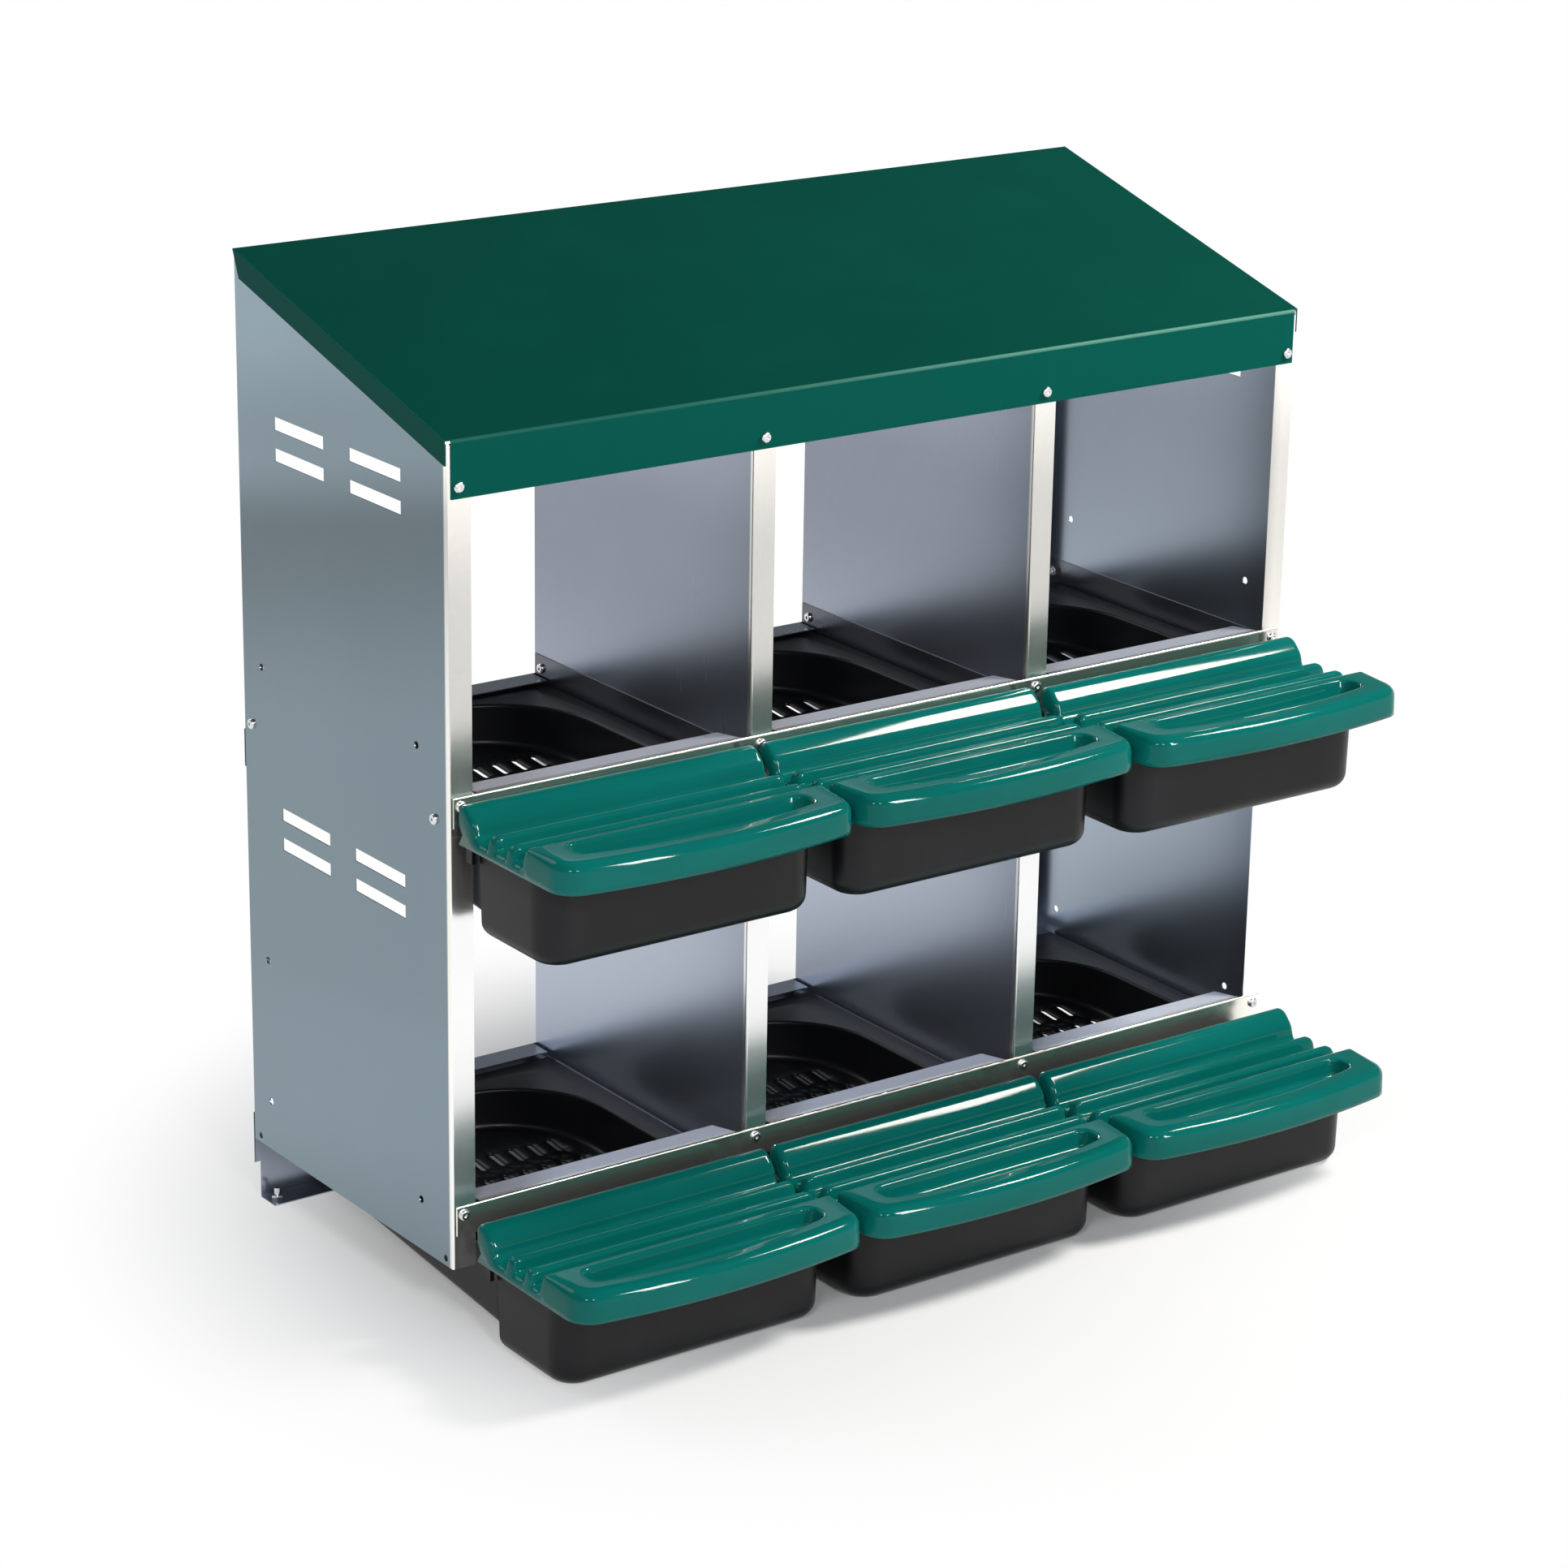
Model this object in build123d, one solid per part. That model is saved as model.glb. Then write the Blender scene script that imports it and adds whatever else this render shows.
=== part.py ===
from build123d import *
import math
import os

# Chicken nesting box with roll-away egg boxes: two tiers of three nests.
# Millimetres, +Z up. The front faces -Y and the box stands on Z = 0.
# Heights are set from the floor, depths from the front plane of the posts.

# Cabinet sheets
cabinet_width = 930.0
cabinet_depth = 350.0
bay_count = 3
sheet = 1.0
bend_radius = 2.0
post_flange = 23.0
rear_flange = 20.0
panel_below_rim = 22.0
seat_gap = 0.3

# Roof
roof_front_height = 803.0
roof_rise = 98.0
roof_overlap = 0.3
fascia_height = 50.0
fascia_inset = 4.0
roof_side_flange = 22.0
roof_back_flange = 48.0
roof_back_cut = 10.0

# Fasteners
screw_radius = 2.9
hole_clearance = 0.2
thread_clearance = 0.05
head_radius = 5.0
head_height = 2.8
head_rounding = 2.0
socket_radius = 1.8
socket_depth = 1.4
nut_radius = 5.6
nut_height = 4.0
screw_tail = 1.5
post_screw_inset = 11.0
fascia_screw_rise = 10.0
rail_screw_drop = 9.0

# Vents and spare holes in the side panels
vent_length = 84.0
vent_height = 12.0
vent_drop = 39.0
vent_row_pitch = 28.0
vent_group_pitch = 359.0
vent_inset_front = 115.0
vent_inset_back = 108.0
spare_hole_radius = 3.5
perch_inset_front = 52.0
perch_inset_back = 34.0
perch_low_rise = 26.0
perch_high_rise = 70.0
spare_middle_rise = 165.0
corner_hole_rise = 7.0
corner_hole_inset_front = 12.0
corner_hole_inset_back = 13.0

# Front and rear rails, set from the rim of the tray behind them
rail_face = 28.0
rail_lip = 25.0
rail_over_rim = 9.0
rail_end_inset = 4.0
lip_start_gap = 5.0
lip_end_gap = 9.0
lip_end_slant = 10.0
rear_lip = 28.0
rear_lip_over_rim = 4.0
rear_web = 36.0
rear_notch_gap = 3.0
rear_screw_drop = 17.0
foot_flange = 26.0
foot_notch_height = 37.0
foot_notch_inset = 6.0
foot_bolt_inset = 16.0
foot_bolt_height = 12.0

# Tray runners
runner_leg = 28.0
runner_shelf = 15.0
runner_end_gap = 2.0
runner_bolt_rise = 12.0
runner_bolt_inset_front = 24.0
runner_bolt_inset_back = 14.0

# Nest trays: rim at Z = 0, back of the lid ridge at Y = 0
tier_pitch = 374.0
tray_play = 25.0
upper_right_pull = 9.0
ridge_clearance = 1.2
tray_wall = 2.2
rim_thickness = 2.5
rim_clearance = 2.0
rim_corner = 12.0
shoulder_clearance = 1.0
tray_rear_clearance = 5.0
throat_clearance = 3.0
throat_wall_front = 2.0
bowl_rear_border = 30.0
bowl_corner = 105.0
bowl_front_depth = 67.0
bowl_rear_depth = 38.0
slot_length = 26.0
slot_width = 6.0
slot_pitch = 21.0
slot_row_pitch = 42.0
slot_first_row = 44.0
slot_margin = 12.0
box_depth = 84.0
box_back = -16.0
box_front = -122.0
box_half_width = 140.0
box_corner = 28.0
box_draft = 1.0
box_bottom_round = 14.0
box_flange = 8.0
ear_thickness = 4.0
ear_width = 9.0
ear_head = 5.5
ear_drop = 18.0

# Lids: same place as the tray, height above the rim
lid_gap = 8.0
lid_wall = 2.5
lid_corner_reach = 162.0
lid_front_reach = 176.0
lid_corner_round = 24.0
lid_skirt = -2.0
lid_edge_round = 6.0
ridge_radius = 10.5
ridge_height = 33.0
ridge_crown = 0.2
ridge_back_low = 16.0
tail_reach = 28.0
valley_height = 6.0
rib_height = 19.0
deck_height = 25.0
ridge_foot = 25.0
first_rib = 49.0
second_rib = 79.0
rib_width = 16.0
rib_flank = 3.0
deck_start = 103.0
profile_round = 4.5
grip_half_width = 122.0
grip_back = 113.0
grip_corner = 142.0
grip_front = 157.0
grip_corner_round = 12.0
grip_depth = 13.0
grip_floor_round = 5.0
peg_radius = 3.0
peg_clearance = 0.05
peg_length = 7.5
ear_clearance = 3.0
ear_notch = 9.0
ear_swing_gap = 0.3

# Places worked out from the sizes above
half_width = cabinet_width / 2
bay_pitch = cabinet_width / bay_count
bay_centres = [(bay - (bay_count - 1) / 2) * bay_pitch for bay in range(bay_count)]
front_face = -sheet
back_face = cabinet_depth + sheet
roof_slope = roof_rise / (back_face - front_face)
roof_sheet_drop = sheet * math.hypot(1.0, roof_slope)
ridge_standoff = sheet + head_height + ridge_clearance
panel_bottom = box_depth - panel_below_rim
rim_heights = {"lower": box_depth, "upper": box_depth + tier_pitch}
bay_names = ["left", "middle", "right"]
rim_half_width = bay_pitch / 2 - 2 * sheet - rim_clearance
throat_half_width = bay_pitch / 2 - post_flange - throat_clearance
shoulder = ridge_standoff + tray_play + sheet + shoulder_clearance
tray_rear = cabinet_depth + ridge_standoff - tray_rear_clearance
bowl_back = tray_rear - bowl_rear_border
lid_half_width = (bay_pitch - lid_gap) / 2
hinge_height = ridge_height - ridge_radius
ear_outside = lid_half_width - lid_wall - ear_clearance
screw_hole = screw_radius + hole_clearance
hole_reach = 4 * bend_radius
level_tolerance = sheet / 100
runner_bolts = (runner_bolt_inset_front, cabinet_depth - runner_bolt_inset_back)
corner_holes = (corner_hole_inset_front, cabinet_depth - corner_hole_inset_back)
vent_middles = (vent_inset_front, cabinet_depth - vent_inset_back)
perch_depths = (perch_inset_front, cabinet_depth - perch_inset_back)
perch_heights = (rim_heights["lower"] + perch_low_rise, rim_heights["upper"] + perch_high_rise)
vent_top = roof_front_height - vent_drop
partition_faces = [bay * bay_pitch - half_width - sheet / 2 for bay in range(1, bay_count)]
upright_faces = [(-half_width, 1)] + [(face, 1) for face in partition_faces] + [(half_width, -1)]
upright_names = ["side_panel_left", "partition_left", "partition_right", "side_panel_right"]
post_screws = [face + inward * post_screw_inset for face, inward in upright_faces]
fascia_screw_height = roof_front_height - fascia_height + fascia_screw_rise
front_reach = -(lid_front_reach + ridge_standoff + tray_play)
back_reach = back_face + head_height
middle_depth = (front_reach + back_reach) / 2


def rail_top(tier):
    return rim_heights[tier] + rail_over_rim + rail_face


def rear_lip_top(tier):
    return rim_heights[tier] + rear_lip_over_rim


def roof_top(depth):
    return roof_front_height + (depth - front_face) * roof_slope


def block(low, high):
    size = [b - a for a, b in zip(low, high)]
    middle = [(a + b) / 2 for a, b in zip(low, high)]
    return Pos(*middle) * Box(*size)


def side_prism(outline, left, right):
    """Outline in depth and height, carried across from left to right."""
    face = Plane.YZ * make_face(Polyline(*outline, close=True))
    return Pos(left, 0, 0) * extrude(face, amount=right - left)


def bent_section(points, radius, side):
    """Section of a bent sheet: a rounded line thickened to one side."""
    line = FilletPolyline(*points, radius=radius)
    return make_face(offset(line, amount=sheet, side=side))


def hole_across(x, y, z, radius):
    return Pos(x, y, z) * Rot(0, 90, 0) * Cylinder(radius, hole_reach)


def hole_through(x, y, z, radius):
    return Pos(x, y, z) * Rot(90, 0, 0) * Cylinder(radius, hole_reach)


def upright(face, inward):
    """Full-height sheet with a post flange in front and a flange behind."""
    points = [
        (face + inward * post_flange, 0),
        (face, 0),
        (face, cabinet_depth),
        (face + inward * rear_flange, cabinet_depth),
    ]
    side = Side.RIGHT if inward > 0 else Side.LEFT
    folded = extrude(bent_section(points, bend_radius, side), amount=roof_top(back_face))
    under = roof_sheet_drop + roof_overlap
    corner = bend_radius
    outline = [
        (0, panel_bottom),
        (cabinet_depth, panel_bottom),
        (cabinet_depth, roof_top(cabinet_depth) - under - 2 * corner),
        (cabinet_depth - corner, roof_top(cabinet_depth - corner) - under),
        (corner, roof_top(corner) - under),
        (0, roof_top(0) - under - 2 * corner),
    ]
    reach = post_flange + rear_flange
    piece = folded & side_prism(outline, face - reach, face + reach)
    screw_x = face + inward * post_screw_inset
    piece -= hole_through(screw_x, 0, fascia_screw_height, screw_hole)
    for tier in rim_heights:
        piece -= hole_through(screw_x, 0, rail_top(tier) - rail_screw_drop, screw_hole)
        rear_height = rear_lip_top(tier) - rear_screw_drop
        piece -= hole_through(screw_x, cabinet_depth, rear_height, screw_hole)
    for depth in runner_bolts:
        piece -= hole_across(face, depth, rim_heights["upper"] + runner_bolt_rise, screw_hole)
    return piece


def side_panel(face, inward):
    """Outer upright with its vent slots and spare holes."""
    piece = upright(face, inward)
    for group in range(2):
        for row in range(2):
            top = vent_top - group * vent_group_pitch - row * vent_row_pitch
            for middle in vent_middles:
                low = (face - bend_radius, middle - vent_length / 2, top - vent_height)
                high = (face + bend_radius, middle + vent_length / 2, top)
                piece -= block(low, high)
    places = [(y, z) for y in perch_depths for z in perch_heights]
    places.append((perch_depths[-1], rim_heights["lower"] + spare_middle_rise))
    for depth, height in places:
        piece -= hole_across(face, depth, height, spare_hole_radius)
    for depth in corner_holes:
        piece -= hole_across(face, depth, panel_bottom + corner_hole_rise, screw_hole)
    return piece


def roof():
    """Folded sheet: fascia, sloping top and rear flange, with a flange down each side."""
    back_top = roof_top(back_face)
    points = [
        (front_face, roof_front_height - fascia_height),
        (front_face, roof_front_height),
        (back_face, back_top),
        (back_face, back_top - roof_back_flange),
    ]
    width = cabinet_width - 2 * fascia_inset
    section = Plane.YZ * bent_section(points, bend_radius, Side.RIGHT)
    piece = Pos(-width / 2, 0, 0) * extrude(section, amount=width)
    inside = half_width + roof_overlap
    outside = inside + sheet
    front = front_face + bend_radius
    back = back_face - bend_radius
    top_sheet = [
        (front, roof_top(front)),
        (back, roof_top(back)),
        (back, roof_top(back) - roof_sheet_drop),
        (front, roof_top(front) - roof_sheet_drop),
    ]
    flange = [
        (front, roof_top(front)),
        (back, roof_top(back)),
        (back - roof_back_cut, roof_top(back - roof_back_cut) - roof_side_flange),
        (front, roof_top(front) - roof_side_flange),
    ]
    piece += side_prism(top_sheet, -outside, outside)
    for side in (-1, 1):
        edges = sorted((side * inside, side * outside))
        piece += side_prism(flange, *edges)
    for x in post_screws:
        piece -= hole_through(x, 0, fascia_screw_height, screw_hole)
    return piece


def front_rail(tier):
    """Sill in front of the posts, its lip turned into the nest and notched round them."""
    top = rail_top(tier)
    points = [(front_face, top - rail_face), (front_face, top), (rail_lip, top)]
    section = Plane.YZ * bent_section(points, bend_radius, Side.RIGHT)
    length = cabinet_width - 2 * rail_end_inset
    piece = Pos(-length / 2, 0, 0) * extrude(section, amount=length)
    for face, inward in upright_faces:
        start = face + post_flange + lip_start_gap
        end = face - lip_end_gap
        if inward < 0:
            start = face
            end = face - post_flange - lip_start_gap
        notch = [
            (end, 0),
            (start, 0),
            (start, rail_lip + sheet),
            (end - lip_end_slant, rail_lip + sheet),
        ]
        cut = extrude(make_face(Polyline(*notch, close=True)), amount=2 * rail_face)
        piece -= Pos(0, 0, top - rail_face) * cut
    for x in post_screws:
        piece -= hole_through(x, 0, top - rail_screw_drop, screw_hole)
    return piece


def rear_rail(tier):
    """Rail behind the uprights; the lower one runs down to a foot flange on the floor."""
    top = rear_lip_top(tier)
    points = [(back_face, top - rear_web), (back_face, top), (back_face - rear_lip, top)]
    if tier == "lower":
        points = [(back_face - foot_flange, 0), (back_face, 0)] + points[1:]
    section = Plane.YZ * bent_section(points, bend_radius, Side.LEFT)
    piece = Pos(-half_width, 0, 0) * extrude(section, amount=cabinet_width)
    lip_low = top - bend_radius - sheet
    for face, inward in upright_faces:
        ends = sorted((face - inward * rear_notch_gap, face + inward * (rear_flange + rear_notch_gap)))
        low = (ends[0], cabinet_depth - 2 * rear_lip, lip_low)
        piece -= block(low, (ends[1], cabinet_depth, top + sheet))
    for x in post_screws:
        piece -= hole_through(x, cabinet_depth, top - rear_screw_drop, screw_hole)
    if tier == "lower":
        for end in (-half_width, half_width):
            low = (end - foot_notch_inset, cabinet_depth - 2 * foot_flange, -sheet)
            high = (end + foot_notch_inset, back_face + sheet, foot_notch_height)
            piece -= block(low, high)
        for x, y in foot_bolt_places():
            piece -= Pos(x, y, 0) * Cylinder(screw_hole, 4 * sheet)
    return piece


def foot_bolt_places():
    reach = half_width - foot_bolt_inset
    return [(side * reach, back_face - foot_flange / 2) for side in (-1, 1)]


def runner(tier, bay, side):
    """Angle on one side of a bay: its shelf carries the tray rim."""
    shelf_top = rim_heights[tier] - rim_thickness - seat_gap
    centre = bay_centres[bay]
    wall = bay_pitch / 2 - sheet / 2
    if (side < 0 and bay == 0) or (side > 0 and bay == bay_count - 1):
        wall = bay_pitch / 2 - sheet
    start = centre + side * wall
    shelf_end = start - side * runner_shelf
    if tier == "upper":
        level = shelf_top - sheet
        points = [(start, level + runner_leg), (start, level), (shelf_end, level)]
        turn = Side.LEFT if side < 0 else Side.RIGHT
    else:
        points = [(start, panel_bottom + seat_gap), (start, shelf_top), (shelf_end, shelf_top)]
        turn = Side.RIGHT if side < 0 else Side.LEFT
    length = cabinet_depth - 2 * (sheet + runner_end_gap)
    strip = extrude(Plane.XZ * bent_section(points, bend_radius, turn), amount=length, dir=(0, 1, 0))
    piece = Pos(0, sheet + runner_end_gap, 0) * strip
    if tier == "upper":
        for depth in runner_bolts:
            height = rim_heights[tier] + runner_bolt_rise
            piece -= hole_across(start, depth, height, screw_hole)
    else:
        for depth in corner_holes:
            height = panel_bottom + corner_hole_rise
            piece -= hole_across(start, depth, height, screw_hole)
    return piece


def screw(grip):
    """Button-head screw: head above Z = 0, shank through the grip and a nut below it."""
    foot = (Align.CENTER, Align.CENTER, Align.MIN)
    head = Cylinder(head_radius, head_height, align=foot)
    head = fillet(head.edges().group_by(Axis.Z)[-1], head_rounding)
    socket = extrude(RegularPolygon(socket_radius, 6), amount=socket_depth)
    head -= Pos(0, 0, head_height - socket_depth) * socket
    length = grip + nut_height + screw_tail
    shank = Cylinder(screw_radius, length, align=(Align.CENTER, Align.CENTER, Align.MAX))
    return head + shank


def nut():
    """Hexagon nut hanging below Z = 0."""
    hexagon = RegularPolygon(nut_radius, 6) - Circle(screw_radius + thread_clearance)
    return extrude(hexagon, amount=nut_height, dir=(0, 0, -1))


def fastened(places, turn, grip):
    """Screws at the places, and their nuts on the far side of the grip."""
    screws = [Pos(*place) * turn * screw(grip) for place in places]
    nuts = [Pos(*place) * turn * Pos(0, 0, -grip) * nut() for place in places]
    return screws, nuts


def foot_bolts():
    """Bolts standing on the foot flange, each with a nut run down on to it."""
    bolts = []
    nuts = []
    for x, y in foot_bolt_places():
        stud = Cylinder(screw_radius, foot_bolt_height, align=(Align.CENTER, Align.CENTER, Align.MIN))
        bolts.append(Pos(x, y, 0) * stud)
        nuts.append(Pos(x, y, sheet + nut_height) * nut())
    return bolts, nuts


def bowl_plan(half, front, back, corner):
    plan = Pos(0, (front + back) / 2) * Rectangle(2 * half, back - front)
    return fillet(plan.vertices().group_by(Axis.Y)[-1], corner)


def bowl_floor(depth):
    """Height of the nest floor, which falls towards the throat."""
    share = depth / bowl_back
    return -(bowl_front_depth + (bowl_rear_depth - bowl_front_depth) * share)


def slot_places():
    """Staggered rows of floor slots that stay inside the round back of the bowl."""
    places = []
    inner = throat_half_width - tray_wall - slot_margin
    centre_x = throat_half_width - bowl_corner
    centre_y = bowl_back - bowl_corner
    rows = int((bowl_back - slot_margin - slot_first_row) / slot_row_pitch) + 1
    columns = int(inner / slot_pitch) + 1
    for row in range(rows):
        y = slot_first_row + row * slot_row_pitch
        stagger = slot_pitch / 2 * (row % 2)
        for column in range(-columns, columns + 1):
            x = column * slot_pitch + stagger
            over_x = max(abs(x) - centre_x, 0)
            over_y = max(y + slot_length / 2 - centre_y, 0)
            round_reach = math.hypot(over_x, over_y)
            if abs(x) < inner and round_reach < bowl_corner - tray_wall - slot_margin:
                places.append((x, y))
    return places


def egg_box(inset, bottom):
    """Drafted egg box, square at the back, between the rim and its bottom, drawn in by the inset."""
    width = 2 * (box_half_width - inset)
    length = box_back - box_front - 2 * inset
    plan = Pos(0, (box_back + box_front) / 2) * Rectangle(width, length)
    plan = fillet(plan.vertices().group_by(Axis.Y)[0], box_corner - inset)
    body = extrude(plan, amount=bottom, dir=(0, 0, -1), taper=box_draft)
    bottom_edges = body.edges().group_by(Axis.Z)[0].sort_by(Axis.Y)
    return fillet(bottom_edges[:-1], box_bottom_round - inset)


def flange_plan():
    """Flange round the top of the egg box, square behind where it carries the ears."""
    front = box_front - box_flange
    back = -throat_wall_front
    plan = Pos(0, (front + back) / 2) * Rectangle(2 * ear_outside, back - front)
    return fillet(plan.vertices().group_by(Axis.Y)[0], box_corner)


def nest_tray():
    """Tray in one piece: rim, sloping bowl with slots, throat, egg box and hinge ears."""
    rim_plan = Pos(0, (shoulder + tray_rear) / 2) * RectangleRounded(
        2 * rim_half_width, tray_rear - shoulder, rim_corner
    )
    tray = extrude(rim_plan, amount=rim_thickness, dir=(0, 0, -1))
    outer_plan = bowl_plan(throat_half_width, box_back, bowl_back, bowl_corner)
    outer_side = [
        (box_back, 0),
        (bowl_back, 0),
        (bowl_back, bowl_floor(bowl_back) - rim_thickness),
        (box_back, bowl_floor(box_back) - rim_thickness),
    ]
    outer = extrude(outer_plan, amount=2 * box_depth, dir=(0, 0, -1))
    tray += outer & side_prism(outer_side, -throat_half_width, throat_half_width)
    wall_top = rail_over_rim - seat_gap
    tray += block(
        (-throat_half_width, throat_wall_front, -rim_thickness),
        (throat_half_width, shoulder, wall_top),
    )
    tray += egg_box(0, box_depth)
    tray += extrude(flange_plan(), amount=rim_thickness, dir=(0, 0, -1))
    inner_half = throat_half_width - tray_wall
    inner_back = bowl_back - tray_wall
    inner_front = (box_back + box_front) / 2
    inner_plan = bowl_plan(inner_half, inner_front, inner_back, bowl_corner - tray_wall)
    inner_side = [
        (inner_front, 2 * wall_top),
        (inner_back, 2 * wall_top),
        (inner_back, bowl_floor(inner_back)),
        (inner_front, bowl_floor(inner_front)),
    ]
    hollow = Pos(0, 0, 2 * wall_top) * extrude(inner_plan, amount=2 * box_depth, dir=(0, 0, -1))
    tray -= hollow & side_prism(inner_side, -inner_half, inner_half)
    tray -= egg_box(tray_wall, box_depth - rim_thickness)
    slots = [Pos(x, y) * SlotOverall(slot_length, slot_width, rotation=90) for x, y in slot_places()]
    cuts = Pos(0, 0, -box_depth) * extrude(Sketch() + slots, amount=box_depth)
    tray -= cuts
    for side in (-1, 1):
        tray += hinge_ear(side)
    return tray


def hinge_ear(side):
    """Upright ear that runs down past the egg box flange, bored for the peg of the lid."""
    inner = ear_outside - ear_thickness
    edges = sorted((side * inner, side * ear_outside))
    post = block(
        (edges[0], -ridge_radius - ear_width / 2, -ear_drop),
        (edges[1], -ridge_radius + ear_width / 2, hinge_height),
    )
    axis = Pos(sum(edges) / 2, -ridge_radius, hinge_height) * Rot(0, 90, 0)
    post += axis * Cylinder(ear_head, ear_thickness)
    return post - axis * Cylinder(peg_radius + peg_clearance, 2 * ear_thickness)


def lid_top_line():
    """Top of the lid from the back of the ridge to the front, in depth and height."""
    points = [(0.0, ridge_back_low), (0.0, ridge_height), (-2 * ridge_radius, ridge_height)]
    crown_round = ridge_radius - ridge_crown / 2
    rounds = [crown_round, crown_round]
    points.append((-ridge_foot, valley_height))
    rounds.append(profile_round)
    for rib in (first_rib, second_rib):
        near = rib - rib_width / 2
        far = rib + rib_width / 2
        points += [
            (-near, valley_height),
            (-near - rib_flank, rib_height),
            (-far + rib_flank, rib_height),
            (-far, valley_height),
        ]
        rounds += [profile_round] * 4
    points += [
        (-deck_start + rib_flank, valley_height),
        (-deck_start, deck_height),
        (-lid_front_reach - lid_wall, deck_height),
    ]
    rounds += [profile_round] * 2
    return FilletPolyline(*points, radius=rounds)


def lid_plan(inset):
    """Outline of the lid from above: straight sides and a bowed front."""
    half = lid_half_width - inset
    corner = inset - lid_corner_reach
    arc = ThreePointArc((half, corner), (0, inset - lid_front_reach), (-half, corner))
    sides = Polyline((-half, corner), (-half, 0), (half, 0), (half, corner))
    plan = make_face(Curve() + [arc, sides])
    return fillet(plan.vertices().group_by(Axis.Y)[0], lid_corner_round - inset)


def grip_plan(grow):
    """Outline of the grip recess, which follows the bow of the front."""
    half = grip_half_width + grow
    corner = -grip_corner - grow
    arc = ThreePointArc((half, corner), (0, -grip_front - grow), (-half, corner))
    back = grow - grip_back
    sides = Polyline((-half, corner), (-half, back), (half, back), (half, corner))
    return fillet(make_face(Curve() + [arc, sides]).vertices(), grip_corner_round + grow)


def egg_lid():
    """Hollow lid in one piece: ridge, ribs, deck with grip recess, skirt and hinge pegs."""
    top_line = lid_top_line()
    front = -lid_front_reach - lid_wall
    tail = Polyline(
        (front, deck_height),
        (front, lid_skirt),
        (-tail_reach, lid_skirt),
        (-ridge_radius, lid_skirt + rail_over_rim),
        (0, ridge_back_low),
    )
    outer_face = Plane.YZ * make_face(Curve() + [top_line, tail])
    outer = Pos(-lid_half_width, 0, 0) * extrude(outer_face, amount=2 * lid_half_width)
    shell = outer & (Pos(0, 0, lid_skirt) * extrude(lid_plan(0), amount=2 * ridge_height))
    shell = fillet(deck_edge(shell), lid_edge_round)
    inner_line = offset(top_line, amount=lid_wall, side=Side.LEFT, closed=False)
    ends = sorted(inner_line.vertices(), key=lambda vertex: vertex.X)
    below = 2 * lid_skirt - ridge_height
    under = Polyline(
        (ends[0].X, ends[0].Y),
        (ends[0].X, below),
        (ends[-1].X, below),
        (ends[-1].X, ends[-1].Y),
    )
    inner_face = Plane.YZ * make_face(Curve() + [inner_line, under])
    inner = Pos(-lid_half_width, 0, 0) * extrude(inner_face, amount=2 * lid_half_width)
    inside_plan = Pos(0, 0, below) * extrude(lid_plan(lid_wall), amount=4 * ridge_height)
    shell -= inner & inside_plan
    floor = deck_height - grip_depth
    well = extrude(grip_plan(lid_wall), amount=grip_depth + lid_wall / 2)
    shell += Pos(0, 0, floor - lid_wall) * well
    pocket = extrude(grip_plan(0), amount=2 * grip_depth)
    pocket = fillet(pocket.edges().group_by(Axis.Z)[0], grip_floor_round)
    shell -= Pos(0, 0, floor) * pocket
    for side in (-1, 1):
        wall = side * (lid_half_width - lid_wall)
        edges = sorted((wall, wall - side * ear_notch))
        low = (edges[0], ear_head + ear_swing_gap - ridge_radius, lid_skirt)
        shell -= block(low, (edges[1], lid_wall, ridge_height))
        peg = Rot(0, 90, 0) * Cylinder(peg_radius, peg_length)
        shell += Pos(wall - side * peg_length / 2, -ridge_radius, hinge_height) * peg
    return shell


def deck_edge(shell):
    """Edges where the deck meets the bowed front and its round corners."""
    level = shell.edges().filter_by(lambda edge: abs(edge.center().Z - deck_height) < level_tolerance)
    return [edge for edge in level if edge.center().Y < -lid_corner_reach + lid_corner_round]


def write(name, *solids):
    """Save a node of one or more solids, moved so that the box is centred on its footprint."""
    moved = [Pos(0, -middle_depth, 0) * solid for solid in solids]
    node = moved[0] if len(moved) == 1 else Compound(children=moved)
    export_step(node, os.path.join("parts", name + ".step"))


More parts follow.
